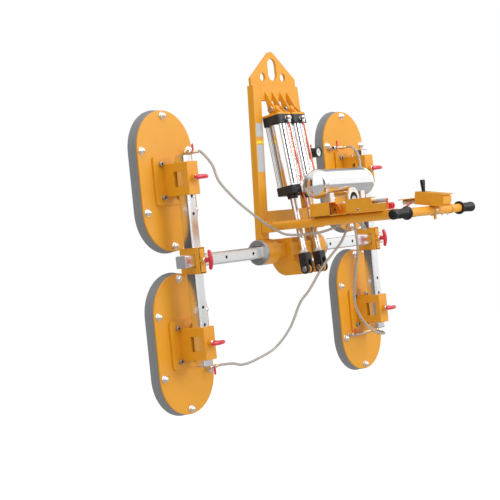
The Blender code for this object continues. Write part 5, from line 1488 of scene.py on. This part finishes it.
# %% Floor
FLOOR_DROP = 0.55
FLOOR_REACH = 9
FLOOR_GLOW, FLOOR_SHEEN = 1.22, 0.42
GLOW_SHARE, SHEEN_SHARE = 0.72, 0.85
WHITE = (1, 1, 1, 1)
floor_z = CAD_BOX[0][2] - FLOOR_DROP
corners = [(x * FLOOR_REACH, y * FLOOR_REACH, floor_z) for x, y in ((-1, -1), (1, -1), (1, 1), (-1, 1))]
mesh = bpy.data.meshes.new("floor")
mesh.from_pydata(corners, [], [(0, 1, 2, 3)])
floor = placed("floor", mesh)
pale = Finish("floor", (0.86, 0.86, 0.86), roughness=0.9)
pale.set("Emission Color", WHITE)
pale.shade(0.99, 1.01, pale.noise(3, 2))
seen = pale.node("ShaderNodeLightPath", output="Is Camera Ray")
mirrored = pale.node("ShaderNodeLightPath", output="Is Glossy Ray")
glow = pale.node("ShaderNodeEmission", None, {"Color": WHITE, "Strength": FLOOR_GLOW})
grey = pale.node("ShaderNodeEmission", None, {"Color": WHITE, "Strength": FLOOR_SHEEN})
plain = Reading(pale, pale.shader.outputs[0])
lit = pale.node("ShaderNodeMixShader", None, {0: seen * GLOW_SHARE, 1: plain, 2: glow})
mixed = pale.node("ShaderNodeMixShader", None, {0: mirrored * SHEEN_SHARE, 1: lit, 2: grey})
pale.feed(pale.tree.nodes["Material Output"].inputs["Surface"], mixed)
mesh.materials.append(pale.material)
print("floor height:", round(floor_z, 3))

# %% [markdown]
# Metal needs something to reflect. Rays that bounce off gloss see a dim room with three bright
# walls, a dark corner, a bright ceiling and a grey floor; the camera sees plain white. A wall is
# a band of headings: the cosine of the angle to its middle, eased at both ends.

# %% Surround
PLAIN_TONE = 0.66
DIM_TONE = 0.16
world = bpy.data.worlds.new("surround")
bpy.context.scene.world = world
world.use_nodes = True


class Surround(Finish):
    """The world's node tree with the same helpers as a finish."""

    def __init__(self, tree):
        self.tree = tree
        self.place = self.node("ShaderNodeTexCoord", output="Generated")


sky = Surround(world.node_tree)
seen = sky.node("ShaderNodeLightPath", output="Is Camera Ray")
mirrored = sky.node("ShaderNodeLightPath", output="Is Glossy Ray")
east, north, climb = sky.axis("X"), sky.axis("Y"), sky.axis("Z")
flat = (east * east + north * north).root()


def wall(middle, half, soft=3):
    """1 within half degrees of a heading: the cosine of the angle to it, eased at both ends."""
    turn = math.radians(middle)
    nearness = (east * math.sin(turn) + north * math.cos(turn)) / flat
    return nearness.eased(math.cos(math.radians(half + soft)), math.cos(math.radians(half - soft)))


walls = 0.95 * wall(-119, 42) + 0.90 * wall(154, 21) + 0.95 * wall(107, 23)
ceiling = climb.eased(0.30, 0.75)
below = 1 - climb.eased(-0.34, -0.24)
room = DIM_TONE + walls - 0.11 * wall(-53, 22, 9) + 0.80 * ceiling
room = room * (1 - below) + FLOOR_SHEEN * below
tone = PLAIN_TONE + mirrored * (room - PLAIN_TONE) + seen * (1 - PLAIN_TONE)
background = world.node_tree.nodes["Background"]
sky.feed(background.inputs["Strength"], tone)
sky.feed(background.inputs["Color"], WHITE)
print("surround nodes:", len(world.node_tree.nodes))

# %% [markdown]
# One soft lamp stands at the operator's right and one hangs high on the left. Each is a square
# that faces the hub, so its own axes are worked out from the line between them.

# %% Lamps
def lamp(name, place, power, size):
    """A square area lamp aimed at the hub."""
    light = bpy.data.lights.new(name, "AREA")
    light.energy = power
    light.size = size
    back = np.array(place) / np.linalg.norm(place)
    across = np.cross((0, 0, 1), back)
    across = across / np.linalg.norm(across)
    placed(name, light).matrix_world = standing(across, np.cross(back, across), back, HUB + place)


lamp("key", (1.6, -4.2, 1.8), 95, 2.2)
lamp("top", (-1.5, -1.0, 4.0), 60, 2.5)
print("lamps:", len(bpy.data.lights))
